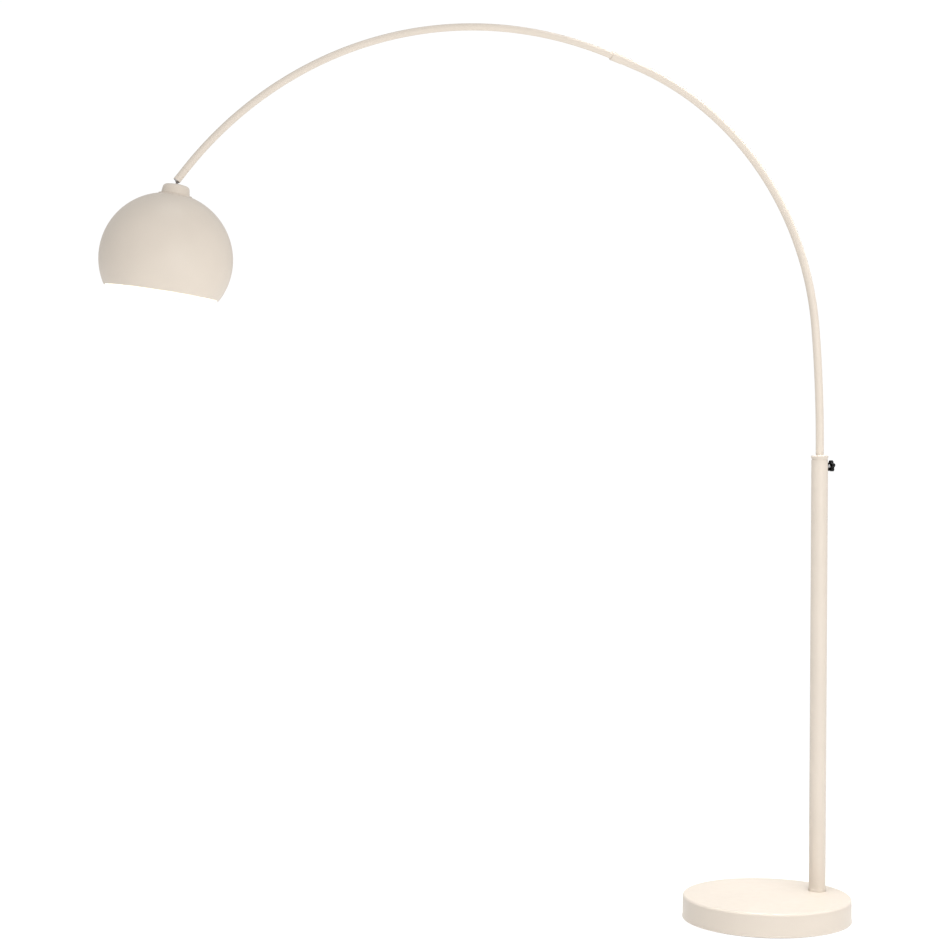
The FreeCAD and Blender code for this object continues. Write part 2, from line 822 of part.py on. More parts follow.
def tip_ferrule():
    """A plain end piece with the ball's chamber; its mouth is rolled in over the seat ring."""
    mouth = D.MouthReach
    start = mouth - D.FerruleLength
    spigot_end = start - 10
    spigot_r = UPPER_R - D.UpperTubeWall - 0.15
    groove_r, groove_end, groove_slope = UPPER_R - 0.35, start + 0.6, 0.3
    rolled, lip_bore = 0.6, CHAMBER_R - 0.3
    turned("tip_ferrule", [
        (FERRULE_SPIGOT_BORE, spigot_end),
        (spigot_r, spigot_end),
        (spigot_r, start),
        (groove_r, start),
        (groove_r, groove_end),
        (UPPER_R, groove_end + groove_slope),
        (UPPER_R, mouth - rolled),
        (UPPER_R - rolled, mouth, rolled, 1),
        (lip_bore, mouth),
        (lip_bore, mouth - rolled),
        (CHAMBER_R, mouth - rolled),
        (CHAMBER_R, CHAMBER_END),
        (FERRULE_SPIGOT_BORE, CHAMBER_END),
    ], TIP_FRAME)


def ball_seat_ring():
    """A turned ring that holds the ball and turns in the ferrule with it."""
    seat = BALL_R + D.RunningGap
    lip, face, back = 1.7, 1.9, 3
    turned("ball_seat_ring", [
        (leg(seat, lip) + LOOSE_GAP, face),
        (leg(seat, lip), lip),
        (seat, 0, seat, -1),
        (leg(seat, back), -back, seat, -1),
        (leg(seat, back), SEAT_BACK),
        (CHAMBER_R - D.RunningGap, SEAT_BACK),
        (CHAMBER_R - D.RunningGap, face),
    ], TIP_FRAME)


def ball_spring_washer():
    top, thickness = SEAT_BACK - END_GAP, 0.8
    ring("ball_spring_washer", PRELOAD_BORE, CHAMBER_R - LOOSE_GAP, top - thickness, top, TIP_FRAME)


def ball_preload_screw():
    top = SEAT_BACK - 1.3
    ring("ball_preload_screw", PRELOAD_BORE, CHAMBER_R, CHAMBER_END + END_GAP, top, TIP_FRAME)


def swivel_ball():
    """The ball, flat on top, with a stepped bore in which the stem's head can turn."""
    flat, step = 4.4, 2.6
    bore, wide_bore = NECK_R + D.RunningGap, NECK_HEAD_R + 0.08
    turned("swivel_ball", [
        (bore, -leg(BALL_R, bore)),
        (BALL_R, 0, BALL_R, 1),
        (leg(BALL_R, flat), flat, BALL_R, 1),
        (wide_bore, flat),
        (wide_bore, step),
        (bore, step),
    ], HEAD_FRAME)


def ball_stem():
    """The neck below the ball: hollow, headed on top, and pressed in the nipple below."""
    foot, head_low, head_top = CAP_APEX - 9, 2.7, 4.2
    turned("ball_stem", [
        (NECK_BORE, foot),
        (NECK_R, foot),
        (NECK_R, head_low),
        (NECK_HEAD_R, head_low),
        (NECK_HEAD_R, head_top),
        (NECK_BORE, head_top),
    ], HEAD_FRAME)


# ---------------------------------------------------------------- shade, on the stem's axis

def shade_cap():
    """A spun cup with a domed top and a round shoulder."""
    top, wall = -D.CapTopDrop, D.CapWall
    bottom = top - D.CapHeight
    shoulder, dome_r = 8, 80
    upper, lower = D.CapTopDiameter / 2, D.CapDiameter / 2
    turned("shade_cap", [
        (NECK_R, CAP_APEX),
        (upper - shoulder, top, dome_r, -1),
        (upper, top - shoulder, shoulder, -1),
        (lower, bottom),
        (lower - wall, bottom),
        (upper - wall, top - shoulder),
        (upper - shoulder, top - wall, shoulder - wall, 1),
        (NECK_R, CAP_APEX - wall, dome_r, 1),
    ], HEAD_FRAME)


def shade_seat_ring():
    """A disc that fits the shade's crown and carries the cap; its edge shows as a thin flange."""
    bottom_of_cap = -D.CapTopDrop - D.CapHeight
    edge = D.SeatDiameter / 2
    boss, boss_height = D.CapDiameter / 2 - D.CapWall - 1.2, 3
    turned("shade_seat_ring", [
        (NIPPLE_R, crown(NIPPLE_R)),
        (edge, crown(edge), SHADE_R, -1),
        (edge, crown(edge) + SEAT_EDGE),
        (D.CapDiameter / 2 + 0.6, bottom_of_cap),
        (boss, bottom_of_cap),
        (boss, bottom_of_cap + boss_height),
        (NIPPLE_R, bottom_of_cap + boss_height),
    ], HEAD_FRAME)


def crown(radius):
    """Height of the shade's outer surface at a radius."""
    return leg(SHADE_R, radius) - D.ShadeDrop


def shade_shell():
    """A spun dome, most of a sphere, with its edge rolled a little inwards."""
    inner = SHADE_R - D.ShadeWall
    centre = -D.ShadeDrop
    rim = centre - D.ShadeCut
    hem, hem_height, hem_start = 0.9, 0.8, 2
    rim_outer, rim_inner = leg(SHADE_R, D.ShadeCut), leg(inner, D.ShadeCut) - hem
    turned("shade_shell", [
        (NIPPLE_R, crown(NIPPLE_R), SHADE_R, 1),
        (NIPPLE_R, leg(inner, NIPPLE_R) - D.ShadeDrop),
        (inner, centre, inner, -1),
        (leg(inner, D.ShadeCut - hem_start), rim + hem_start, inner, -1),
        (rim_inner, rim + hem_height),
        (rim_inner, rim),
        (rim_outer, rim),
        (SHADE_R, centre, SHADE_R, 1),
    ], HEAD_FRAME)


def shade_nipple():
    """The threaded tube that draws cap, seat ring, shade and lampholder together."""
    bottom = -D.HolderTopDrop - NIPPLE_ENTRY
    ring("shade_nipple", NECK_R, NIPPLE_R, bottom, CAP_APEX - D.CapWall - 0.4, HEAD_FRAME)


def nipple_washer():
    ring("nipple_washer", NIPPLE_R, WASHER_R, CROWN_UNDER - CROWN_WASHER, CROWN_UNDER, HEAD_FRAME)


def nipple_nut():
    bottom = CROWN_UNDER - CROWN_WASHER - NUT_HEIGHT
    hex_nut("nipple_nut", NUT_FLATS, NIPPLE_R, bottom, NUT_HEIGHT, HEAD_FRAME)


def lampholder_cap():
    """The holder's dome: a threaded entry on the nipple, widening to the skirt."""
    top = -D.HolderTopDrop
    outer = D.HolderDiameter / 2
    entry, cone, shoulder, shoulder_r = 8.5, top - 7, top - 13, 7
    turned("lampholder_cap", [
        (NIPPLE_R, top),
        (entry, top),
        (outer - 4, cone),
        (outer, shoulder, shoulder_r, -1),
        (outer, top - HOLDER_SPLIT),
        (outer - HOLDER_WALL, top - HOLDER_SPLIT),
        (outer - HOLDER_WALL, shoulder),
        (outer - 6, cone - HOLDER_WALL),
        (entry, top - 5),
        (entry, top - NIPPLE_ENTRY),
        (NIPPLE_R, top - NIPPLE_ENTRY),
    ], HEAD_FRAME)


def lampholder_skirt():
    top = -D.HolderTopDrop - HOLDER_SPLIT
    outer = D.HolderDiameter / 2
    bottom = -D.HolderTopDrop - D.HolderLength
    wall, lip = HOLDER_WALL, 2
    turned("lampholder_skirt", [
        (outer - wall, top),
        (outer, top),
        (outer, bottom + wall),
        (outer - wall, bottom, wall, -1),
        (outer - wall - lip, bottom),
        (outer - wall - lip, bottom + wall),
        (outer - wall, bottom + 2 * wall),
    ], HEAD_FRAME)


def lampholder_insert():
    """The ceramic core that carries the thread shell and the contact."""
    top = -D.HolderTopDrop - CORE_DROP
    floor = -D.BulbTopDrop + CONTACT_HEIGHT
    outer = D.HolderDiameter / 2 - HOLDER_WALL - 0.1
    recess, step, slope = THREAD_R + 0.7, 4, 3
    turned("lampholder_insert", [
        (LEAD_R, top),
        (outer - slope, top),
        (outer, top - step),
        (outer, floor - step),
        (recess, floor - step),
        (recess, floor),
        (LEAD_R, floor),
    ], HEAD_FRAME)


def thread_shell():
    bottom, top = -D.BulbTopDrop - THREAD_DEPTH, -D.BulbTopDrop + CONTACT_HEIGHT
    ring("thread_shell", THREAD_R, THREAD_R + THREAD_WALL, bottom, top, HEAD_FRAME)


def centre_contact():
    radius = 4
    ring("centre_contact", 0, radius, -D.BulbTopDrop, -D.BulbTopDrop + CONTACT_HEIGHT, HEAD_FRAME)


def lead_in_holder():
    bottom, top = -D.HolderTopDrop - CORE_DROP, -D.CapTopDrop - 10
    ring("lead_in_holder", 0, NECK_R - 0.1, bottom, top, HEAD_FRAME)


def bulb_cap():
    """The screw cap with its insulator cone and end contact."""
    top = -D.BulbTopDrop
    contact_r, cone_r, cone, thread_start = 4.5, THREAD_R - 1.6, top - 3.5, top - 5
    turned("bulb_cap", [
        (0, top),
        (contact_r, top),
        (cone_r, cone),
        (THREAD_R, thread_start),
        (THREAD_R, top - BULB_CAP_HEIGHT),
        (0, top - BULB_CAP_HEIGHT),
    ], HEAD_FRAME)


def bulb_glass():
    """A pear-shaped bulb of thin opal glass, open where it meets its cap."""
    top = -D.BulbTopDrop - BULB_CAP_HEIGHT
    outer = D.BulbDiameter / 2
    centre = outer - D.BulbTopDrop - D.BulbLength
    wall = 1
    inner = outer - wall
    neck_r, throat_r, throat, flank, flank_r = 13, 14.5, top - 8, 14, 144
    turned("bulb_glass", [
        (neck_r - wall, top),
        (neck_r, top),
        (throat_r, throat),
        (leg(outer, flank), centre + flank, flank_r, 1),
        (outer, centre, outer, -1),
        (0, centre - outer, outer, -1),
        (0, centre - inner),
        (inner, centre, inner, 1),
        (leg(inner, flank), centre + flank, inner, 1),
        (throat_r - wall, throat, flank_r, -1),
    ], HEAD_FRAME)


# ---------------------------------------------------------------- the whole lamp

def check():
    """Stop unless every object is up to date and every sub-part is a valid shape."""
    for item in doc.Objects:
        if "Invalid" in item.State or "Error" in item.State:
            raise RuntimeError("%s (%s) failed: %s" % (item.Label, item.Name, item.State))
    for piece in PARTS:
        if piece.Shape.isNull() or not piece.Shape.isValid() or not piece.Shape.Solids:
            raise RuntimeError("%s has no valid solid" % piece.Label)


def write():
    os.makedirs("parts", exist_ok=True)
    for piece in PARTS:
        piece.Shape.exportStep("parts/%s.step" % piece.Label)
        print("%-20s %10.1f mm3" % (piece.Label, piece.Shape.Volume))


for make_part in (
        floor_pad, base_plate, base_weight, base_screws, base_shell, cord_grommet, terminal_block,
        pole, pole_foot_ring, pole_plug, tie_washer, tie_bolt, pole_collar, collar_bush,
        clamp_insert, clamp_pad, clamp_stud, clamp_knob, lead_in_pole,
        guide_ring, guide_end_stop, guide_clip, arc_lower_tube, arc_coupling, coupling_grub_screw,
        arc_upper_tube, lead_in_arc, tip_ferrule, ball_spring_washer, ball_preload_screw,
        ball_seat_ring, swivel_ball, ball_stem,
        shade_cap, shade_seat_ring, shade_shell, shade_nipple, nipple_washer, nipple_nut,
        lampholder_cap, lampholder_skirt, lampholder_insert, thread_shell, centre_contact,
        lead_in_holder, bulb_cap, bulb_glass):
    make_part()

doc.recompute()
check()
write()
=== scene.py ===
"""Looks of the arc floor lamp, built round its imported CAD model. Metres, +Z up."""
import bpy
import bmesh
import json
import math
from mathutils import Matrix, Vector


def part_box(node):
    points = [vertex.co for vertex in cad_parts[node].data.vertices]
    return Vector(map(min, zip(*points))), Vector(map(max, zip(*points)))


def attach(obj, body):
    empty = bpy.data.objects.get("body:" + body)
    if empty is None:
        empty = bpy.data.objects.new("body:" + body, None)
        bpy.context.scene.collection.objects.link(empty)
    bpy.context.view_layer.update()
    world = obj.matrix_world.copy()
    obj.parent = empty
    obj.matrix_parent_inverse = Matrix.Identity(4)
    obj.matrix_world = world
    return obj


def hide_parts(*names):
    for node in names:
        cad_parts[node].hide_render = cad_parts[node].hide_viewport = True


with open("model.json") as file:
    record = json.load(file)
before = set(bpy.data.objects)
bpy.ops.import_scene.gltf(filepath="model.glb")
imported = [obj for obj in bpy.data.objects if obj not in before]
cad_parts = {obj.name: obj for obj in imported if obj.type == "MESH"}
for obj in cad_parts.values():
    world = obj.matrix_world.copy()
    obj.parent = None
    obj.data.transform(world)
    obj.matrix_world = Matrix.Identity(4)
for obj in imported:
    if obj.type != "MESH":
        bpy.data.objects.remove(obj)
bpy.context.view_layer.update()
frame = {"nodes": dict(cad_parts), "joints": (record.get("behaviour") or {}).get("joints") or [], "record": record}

MM = 0.001
TAU = 2 * math.pi

# ---------------------------------------------------------------- where things are

joints = {j["name"]: j for j in frame["joints"]}


def axis_frame(origin, z_axis):
    """Matrix of a frame whose Z runs along z_axis and whose Y is as near to +Y as it can be."""
    z = Vector(z_axis).normalized()
    x = Vector((0, 1, 0)).cross(z).normalized()
    y = z.cross(x)
    turn = Matrix((x, y, z)).transposed().to_4x4()
    return Matrix.Translation(origin) @ turn


def width(node):
    low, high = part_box(node)
    return high.y - low.y


pole_low, pole_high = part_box("pole")
_, shell_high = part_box("base_shell")
_, collar_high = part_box("pole_collar")
arc_low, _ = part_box("arc_lower_tube")
knob_low, knob_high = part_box("clamp_knob")
pad_low, pad_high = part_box("floor_pad")

POLE_X = (pole_low.x + pole_high.x) / 2
POLE_R = width("pole") / 2
BASE_TOP = shell_high.z
BASE_R = width("base_shell") / 2
LOWER_TUBE_R = 8.5 * MM
UPPER_TUBE_R = 7.0 * MM
SHADE_R = width("shade_shell") / 2
CLAMP_Z = joints["knob_turn"]["pos_m"][2]
BALL = Vector(joints["shade_spin"]["pos_m"])

# From here on, a length that isn't multiplied by MM is in millimetres. The frames that the
# pieces are drawn in: HEAD and TIP have their origins in the ball's centre, with Z up the neck
# and out of the arc's end.
COLLAR_DOME = 1.3
FLOOR = Matrix.Identity(4)
POLE = Matrix.Translation((POLE_X, 0, 0))
COLLAR = Matrix.Translation((POLE_X, 0, collar_high.z - COLLAR_DOME * MM))
CLAMP = axis_frame((POLE_X, 0, CLAMP_Z), (1, 0, 0))
TIP = axis_frame(BALL, joints["shade_swivel"]["axis"])
HEAD = axis_frame(BALL, joints["shade_spin"]["axis"])
mounts = {m["name"]: m for m in frame["record"]["mounts"]}
INLET = axis_frame((0, 0, mounts["cord_inlet"]["pos_m"][2]), mounts["cord_inlet"]["axis"])

# ---------------------------------------------------------------- camera, light and floor

# Millimetres, metres and radians.
LENS = 75.03
EYE = Vector((-2.1392, -3.6026, 0.9565))
YAW, PITCH, ROLL = -0.38837, 0.0069, 0.0049
WHITE = (1.0, 1.0, 1.0)


def make_camera():
    right = Vector((math.cos(YAW), math.sin(YAW), 0))
    level = Vector((-math.sin(YAW), math.cos(YAW), 0))
    up = Vector((0, 0, 1))
    ahead = math.cos(PITCH) * level - math.sin(PITCH) * up
    over = math.sin(PITCH) * level + math.cos(PITCH) * up
    side = math.cos(ROLL) * right + math.sin(ROLL) * over
    top = -math.sin(ROLL) * right + math.cos(ROLL) * over
    data = bpy.data.cameras.new("camera")
    data.sensor_width = 36
    data.lens = LENS
    camera = bpy.data.objects.new("camera", data)
    turn = Matrix((side, top, -ahead)).transposed().to_4x4()
    camera.matrix_world = Matrix.Translation(EYE) @ turn
    bpy.context.scene.collection.objects.link(camera)
    bpy.context.scene.camera = camera


def soft_box(name, place, target, size, power, colour=WHITE, spread=180):
    """A round area light; its spread is in degrees."""
    data = bpy.data.lights.new(name, "AREA")
    data.shape = "DISK"
    data.size = size
    data.energy = power
    data.color = colour
    data.spread = math.radians(spread)
    lamp = bpy.data.objects.new(name, data)
    lamp.location = place
    aim = Vector(target) - Vector(place)
    lamp.rotation_mode = "QUATERNION"
    lamp.rotation_quaternion = aim.to_track_quat("-Z", "Y")
    bpy.context.scene.collection.objects.link(lamp)


def make_lights():
    middle = (-0.6, 0, 0.9)
    foot = (0.05, 0, 0.05)
    soft_box("key", (-0.7, -4.3, 1.1), middle, size=2.2, power=62, colour=(1.0, 0.99, 0.97))
    soft_box("top", (-0.6, -0.6, 9.0), middle, size=4.0, power=90)
    soft_box("low", (0.7, -1.5, 0.45), foot, size=0.8, power=1.6, colour=(1.0, 0.99, 0.98))
    soft_box("over_base", (0, -0.1, 2.7), (0, 0, 0), size=0.7, power=4.0, spread=45)


def make_world():
    """A soft bluish room for the light, and plain white where the camera sees past the lamp."""
    scene = bpy.context.scene
    scene.view_settings.view_transform = "Standard"
    world = bpy.data.worlds.new("studio")
    scene.world = world
    world.use_nodes = True
    tree = world.node_tree
    tree.nodes.clear()

    def background(colour, strength):
        node = tree.nodes.new("ShaderNodeBackground")
        node.inputs["Color"].default_value = (*colour, 1)
        node.inputs["Strength"].default_value = strength
        return node.outputs[0]

    out = tree.nodes.new("ShaderNodeOutputWorld")
    mix = tree.nodes.new("ShaderNodeMixShader")
    path = tree.nodes.new("ShaderNodeLightPath")
    tree.links.new(path.outputs["Is Camera Ray"], mix.inputs[0])
    tree.links.new(background((0.97, 0.985, 1.0), 0.7), mix.inputs[1])
    tree.links.new(background(WHITE, 1.02), mix.inputs[2])
    tree.links.new(mix.outputs[0], out.inputs["Surface"])


def make_floor():
    """White paper that glows a little, so that only a faint shadow shows on it."""
    mesh = bpy.data.meshes.new("studio_floor")
    bm = bmesh.new()
    bmesh.ops.create_circle(bm, cap_ends=True, segments=96, radius=30)
    bm.to_mesh(mesh)
    bm.free()
    floor = bpy.data.objects.new("studio_floor", mesh)
    bpy.context.scene.collection.objects.link(floor)
    paint = bpy.data.materials.new("studio_paper")
    paint.use_nodes = True
    shader = paint.node_tree.nodes["Principled BSDF"]
    shader.inputs["Base Color"].default_value = (0.25, 0.25, 0.25, 1)
    shader.inputs["Roughness"].default_value = 0.9
    shader.inputs["Specular IOR Level"].default_value = 0.0
    shader.inputs["Emission Color"].default_value = (*WHITE, 1)
    shader.inputs["Emission Strength"].default_value = 0.86
    mesh.materials.append(paint)


make_camera()
make_lights()
make_world()
make_floor()

# ---------------------------------------------------------------- materials


class Nodes:
    """Short calls for building one material's node tree."""

    def __init__(self, name):
        self.material = bpy.data.materials.new(name)
        self.material.use_nodes = True
        self.tree = self.material.node_tree
        self.shader = self.tree.nodes["Principled BSDF"]
        self.place = self.tree.nodes.new("ShaderNodeTexCoord").outputs["Object"]

    def link(self, source, target):
        self.tree.links.new(source, target)

    def add(self, kind, **values):
        node = self.tree.nodes.new(kind)
        for key, value in values.items():
            setattr(node, key, value)
        return node

    def stretched(self, scale):
        """Object coordinates scaled by a different amount along each axis."""
        mapping = self.add("ShaderNodeMapping")
        mapping.inputs["Scale"].default_value = scale
        self.link(self.place, mapping.inputs["Vector"])
        return mapping.outputs[0]

    def noise(self, scale, detail=2.0, place=None):
        node = self.add("ShaderNodeTexNoise")
        node.inputs["Scale"].default_value = scale
        node.inputs["Detail"].default_value = detail
        self.link(place or self.place, node.inputs["Vector"])
        return node.outputs["Fac"]

    def cells(self, scale):
        node = self.add("ShaderNodeTexVoronoi")
        node.inputs["Scale"].default_value = scale
        self.link(self.place, node.inputs["Vector"])
        return node.outputs["Distance"]

    def span(self, source, low, high, source_low=0.3, source_high=0.7):
        """Stretch a value's usual range to low ... high."""
        node = self.add("ShaderNodeMapRange")
        node.inputs["From Min"].default_value = source_low
        node.inputs["From Max"].default_value = source_high
        node.inputs["To Min"].default_value = low
        node.inputs["To Max"].default_value = high
        self.link(source, node.inputs["Value"])
        return node.outputs[0]

    def blend(self, source, first, second):
        node = self.add("ShaderNodeMix", data_type="RGBA")
        node.inputs["A"].default_value = (*first, 1)
        node.inputs["B"].default_value = (*second, 1)
        self.link(source, node.inputs["Factor"])
        return node.outputs["Result"]

    def bump(self, source, distance, strength=1.0, below=None):
        node = self.add("ShaderNodeBump")
        node.inputs["Distance"].default_value = distance
        node.inputs["Strength"].default_value = strength
        self.link(source, node.inputs["Height"])
        if below:
            self.link(below, node.inputs["Normal"])
        return node.outputs[0]

    def finish(self, colour, roughness, normal, **plain):
        if isinstance(colour, tuple):
            self.shader.inputs["Base Color"].default_value = (*colour, 1)
        else:
            self.link(colour, self.shader.inputs["Base Color"])
        self.link(roughness, self.shader.inputs["Roughness"])
        self.link(normal, self.shader.inputs["Normal"])
        for key, value in plain.items():
            self.shader.inputs[key.replace("_", " ")].default_value = value
        return self.material


def shade_of(colour, factor):
    return tuple(min(c * factor, 1.0) for c in colour)


def paint(name, colour, roughness=0.42, peel=1.0, speck=0.95):
    """Satin stove enamel: faint mottling, fine specks and an orange-peel skin."""
    n = Nodes(name)
    mottle = n.blend(n.span(n.noise(9, 3), 0, 1), shade_of(colour, 0.975), shade_of(colour, 1.02))
    specks = n.span(n.noise(1500, 1), 0, 1, 0.62, 0.8)
    mix = n.add("ShaderNodeMix", data_type="RGBA")
    n.link(specks, mix.inputs["Factor"])
    n.link(mottle, mix.inputs["A"])
    mix.inputs["B"].default_value = (*shade_of(colour, speck), 1)
    rough = n.span(n.noise(60, 3), roughness - 0.04, roughness + 0.05)
    coarse = n.bump(n.noise(420, 1), 0.00002 * peel, 0.4)
    fine = n.bump(n.noise(1900, 2), 0.000006 * peel, 0.4, coarse)
    return n.finish(mix.outputs["Result"], rough, fine, Specular_IOR_Level=0.35)


def turned_metal(name, colour, roughness, grain=(900, 900, 60)):
    """Metal off a lathe or a drawing die, with fine marks one way."""
    n = Nodes(name)
    marks = n.noise(1, 4, n.stretched(grain))
    tone = n.blend(n.span(n.noise(35, 3), 0, 1), shade_of(colour, 0.93), shade_of(colour, 1.05))
    rough = n.span(marks, roughness - 0.06, roughness + 0.08)
    return n.finish(tone, rough, n.bump(marks, 0.00001, 0.35), Metallic=1.0)


def moulded(name, colour, roughness, texture=0.00003, scale=2600, shine=0.5):
    """Moulded plastic or rubber with a fine spark texture."""
    n = Nodes(name)
    tone = n.blend(n.span(n.noise(40, 3), 0, 1), shade_of(colour, 0.93), shade_of(colour, 1.06))
    rough = n.span(n.noise(130, 3), roughness - 0.05, roughness + 0.06)
    return n.finish(tone, rough, n.bump(n.noise(scale, 2), texture, 0.6), Specular_IOR_Level=shine)


def foam(name, colour):
    """Closed-cell foam sheet: round cells with painted shade in their pits, and a dull skin."""
    n = Nodes(name)
    cells = n.cells(900)
    # The colour follows the cells' depth, as the bump does: painted shade in their pits and painted light on the
    # walls between them.
    tone = n.blend(n.span(cells, 0, 1, 0.0, 0.6), shade_of(colour, 0.6), shade_of(colour, 1.3))
    rough = n.span(n.noise(90), 0.85, 0.97)
    return n.finish(tone, rough, n.bump(cells, 0.0003, 0.8))


def cast(name, colour):
    """Rough sand-cast iron."""
    n = Nodes(name)
    tone = n.blend(n.span(n.noise(120, 5), 0, 1), shade_of(colour, 0.7), shade_of(colour, 1.3))
    rough = n.span(n.noise(300, 4), 0.55, 0.85)
    return n.finish(tone, rough, n.bump(n.noise(700, 6), 0.0004, 0.9), Metallic=0.7)


def ceramic(name, colour):
    n = Nodes(name)
    tone = n.blend(n.span(n.noise(70, 3), 0, 1), shade_of(colour, 0.96), shade_of(colour, 1.02))
    rough = n.span(n.noise(200, 3), 0.22, 0.4)
    return n.finish(tone, rough, n.bump(n.noise(1400, 3), 0.00003, 0.5), Coat_Weight=0.4)


def lit_opal(name, colour, glow, strength):
    """Opal glass with the lamp on: a warm glow that varies a little at random."""
    n = Nodes(name)
    tone = n.blend(n.span(n.noise(25, 2), 0, 1), shade_of(colour, 0.98), shade_of(colour, 1.0))
    rough = n.span(n.noise(90, 2), 0.2, 0.3)
    glow_tone = n.blend(n.span(n.noise(18, 2), 0, 1), shade_of(glow, 0.97), shade_of(glow, 1.0))
    n.link(glow_tone, n.shader.inputs["Emission Color"])
    return n.finish(tone, rough, n.bump(n.noise(500, 2), 0.00001, 0.3),
                    Emission_Strength=strength, Coat_Weight=0.5, Coat_Roughness=0.1)


CREAM = (0.645, 0.572, 0.493)
MATERIALS = {
    "cream_paint": paint("cream_paint", CREAM),
    "tube_paint": paint("tube_paint", CREAM, peel=0.25, speck=0.985),
    "shade_paint": paint("shade_paint", CREAM, roughness=0.46, peel=0.8),
    "shade_lining": paint("shade_lining", (0.9, 0.89, 0.86), roughness=0.5, peel=0.8),
    "zinc_steel": turned_metal("zinc_steel", (0.62, 0.63, 0.65), 0.27),
    "dark_nickel": turned_metal("dark_nickel", (0.16, 0.145, 0.14), 0.24, (300, 300, 300)),
    "chrome": turned_metal("chrome", (0.5, 0.5, 0.52), 0.16, (300, 300, 300)),
    "brass": turned_metal("brass", (0.74, 0.55, 0.26), 0.28),
    "iron": cast("iron", (0.12, 0.12, 0.125)),
    "foam_pad": foam("foam_pad", (0.05, 0.05, 0.052)),
    "black_rubber": moulded("black_rubber", (0.02, 0.02, 0.02), 0.75),
    "black_plastic": moulded("black_plastic", (0.004, 0.004, 0.0042), 0.42, 0.00001, 3200, 0.2),
    "nylon": moulded("nylon", (0.78, 0.76, 0.70), 0.5),
    "holder_plastic": moulded("holder_plastic", (0.80, 0.79, 0.75), 0.42),
    "holder_ceramic": ceramic("holder_ceramic", (0.84, 0.82, 0.77)),
    "lead_jacket": moulded("lead_jacket", (0.55, 0.54, 0.52), 0.6),
    "bulb_metal": turned_metal("bulb_metal", (0.66, 0.66, 0.67), 0.3),
    "opal_glass": lit_opal("opal_glass", (0.95, 0.94, 0.9), (1.0, 0.9, 0.74), 9.0),
}
SLOT_OF_NODE = {row["node"]: row["material_slot"] for row in frame["record"]["subparts"]}
for label, node in frame["nodes"].items():
    node.data.materials.clear()
    node.data.materials.append(MATERIALS[SLOT_OF_NODE[label]])

# ---------------------------------------------------------------- mesh helpers

SHARP = math.radians(32)
WELD = 1e-7
FILLET_STEPS = 5
# An arc's longest step, and how little a corner has to turn to need no fillet, in radians.
WIDEST_STEP = 0.26
NO_CORNER = 0.02
# The share of an edge that the fillet at one of its ends may take.
FILLET_SHARE = 0.45


def arc_between(start, end, radius, side, step):
    """Points inside an arc under half a turn; side +1 puts its centre left of the way it runs."""
    chord = end - start
    rise = math.sqrt(max(radius ** 2 - (chord.length / 2) ** 2, 0))
    left = Vector((-chord.y, chord.x)).normalized()
    centre = (start + end) / 2 + left * side * rise
    first, last = start - centre, end - centre
    sweep = side * (side * (math.atan2(last.y, last.x) - math.atan2(first.y, first.x)) % TAU)
    count = max(2, math.ceil(abs(sweep) * radius / step), math.ceil(abs(sweep) / WIDEST_STEP))
    angles = [math.atan2(first.y, first.x) + sweep * i / count for i in range(1, count)]
    return [centre + radius * Vector((math.cos(a), math.sin(a))) for a in angles]


def fillet(before, corner, after, radius):
    """The rounded corner's points, no longer than the edges beside it allow."""
    back, ahead = before - corner, after - corner
    angle = back.angle(ahead)
    if angle > math.pi - NO_CORNER:
        return [corner]
    longest = FILLET_SHARE * min(back.length, ahead.length)
    reach = min(radius / math.tan(angle / 2), longest)
    radius = reach * math.tan(angle / 2)
    start = corner + back.normalized() * reach
    end = corner + ahead.normalized() * reach
    side = 1 if (corner - start).cross(end - corner) > 0 else -1
    turn = math.pi - angle
    return [start] + arc_between(start, end, radius, side, radius * turn / FILLET_STEPS) + [end]


def outline_points(outline, step=4.0, closed=True):
    """Corners (r, z) or (r, z, fillet), or (r, z, radius, side) and (r, z, radius, side, fillet)
    for one reached along an arc, as plain points in millimetres."""
    points = []
    for i, item in enumerate(outline):
        corner = Vector(item[:2])
        if len(item) > 3 and (closed or i):
            start = Vector(outline[i - 1][:2])
            points += [(p, 0) for p in arc_between(start, corner, item[2], item[3], step)]
        rounded = len(item) in (3, 5)
        points.append((corner, item[-1] if rounded else 0))
    result = []
    for i, (corner, radius) in enumerate(points):
        if radius:
            ahead = points[(i + 1) % len(points)][0]
            result += fillet(points[i - 1][0], corner, ahead, radius)
        else:
            result.append(corner)
    return result


def finish_mesh(name, bm, place, material, body, replaced=()):
    """Turn a bmesh in local metres into a piece that rides on a body in place of CAD nodes."""
    bmesh.ops.remove_doubles(bm, verts=bm.verts, dist=WELD)
    bmesh.ops.recalc_face_normals(bm, faces=bm.faces)
    mesh = bpy.data.meshes.new(name)
    bm.to_mesh(mesh)
    bm.free()
    mesh.transform(place)
    piece = bpy.data.objects.new(name, mesh)
    bpy.context.scene.collection.objects.link(piece)
    for each in material if isinstance(material, list) else [material]:
        mesh.materials.append(MATERIALS[each])
    smooth(piece)
    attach(piece, body)
    if replaced:
        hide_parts(*replaced)
    return piece


def smooth(piece):
    mesh = piece.data
    for face in mesh.polygons:
        face.use_smooth = True
    mesh.set_sharp_from_angle(angle=SHARP)
    weighted = piece.modifiers.new("weighted_normals", "WEIGHTED_NORMAL")
    weighted.keep_sharp = True
    weighted.weight = 80


def loft(rings, closed=True):
    """Faces between rings of vertices, each ring a list of points, or one point on the axis."""
    bm = bmesh.new()
    made = [[bm.verts.new(p) for p in ring] for ring in rings]
    pairs = list(zip(made, made[1:]))
    if closed:
        pairs.append((made[-1], made[0]))
    for low, high in pairs:
        count = max(len(low), len(high))
        if count == 1:
            continue
        for i in range(count):
            j = (i + 1) % count
            corners = [low[i % len(low)], low[j % len(low)], high[j % len(high)], high[i % len(high)]]
            bm.faces.new(list(dict.fromkeys(corners)))
    return bm


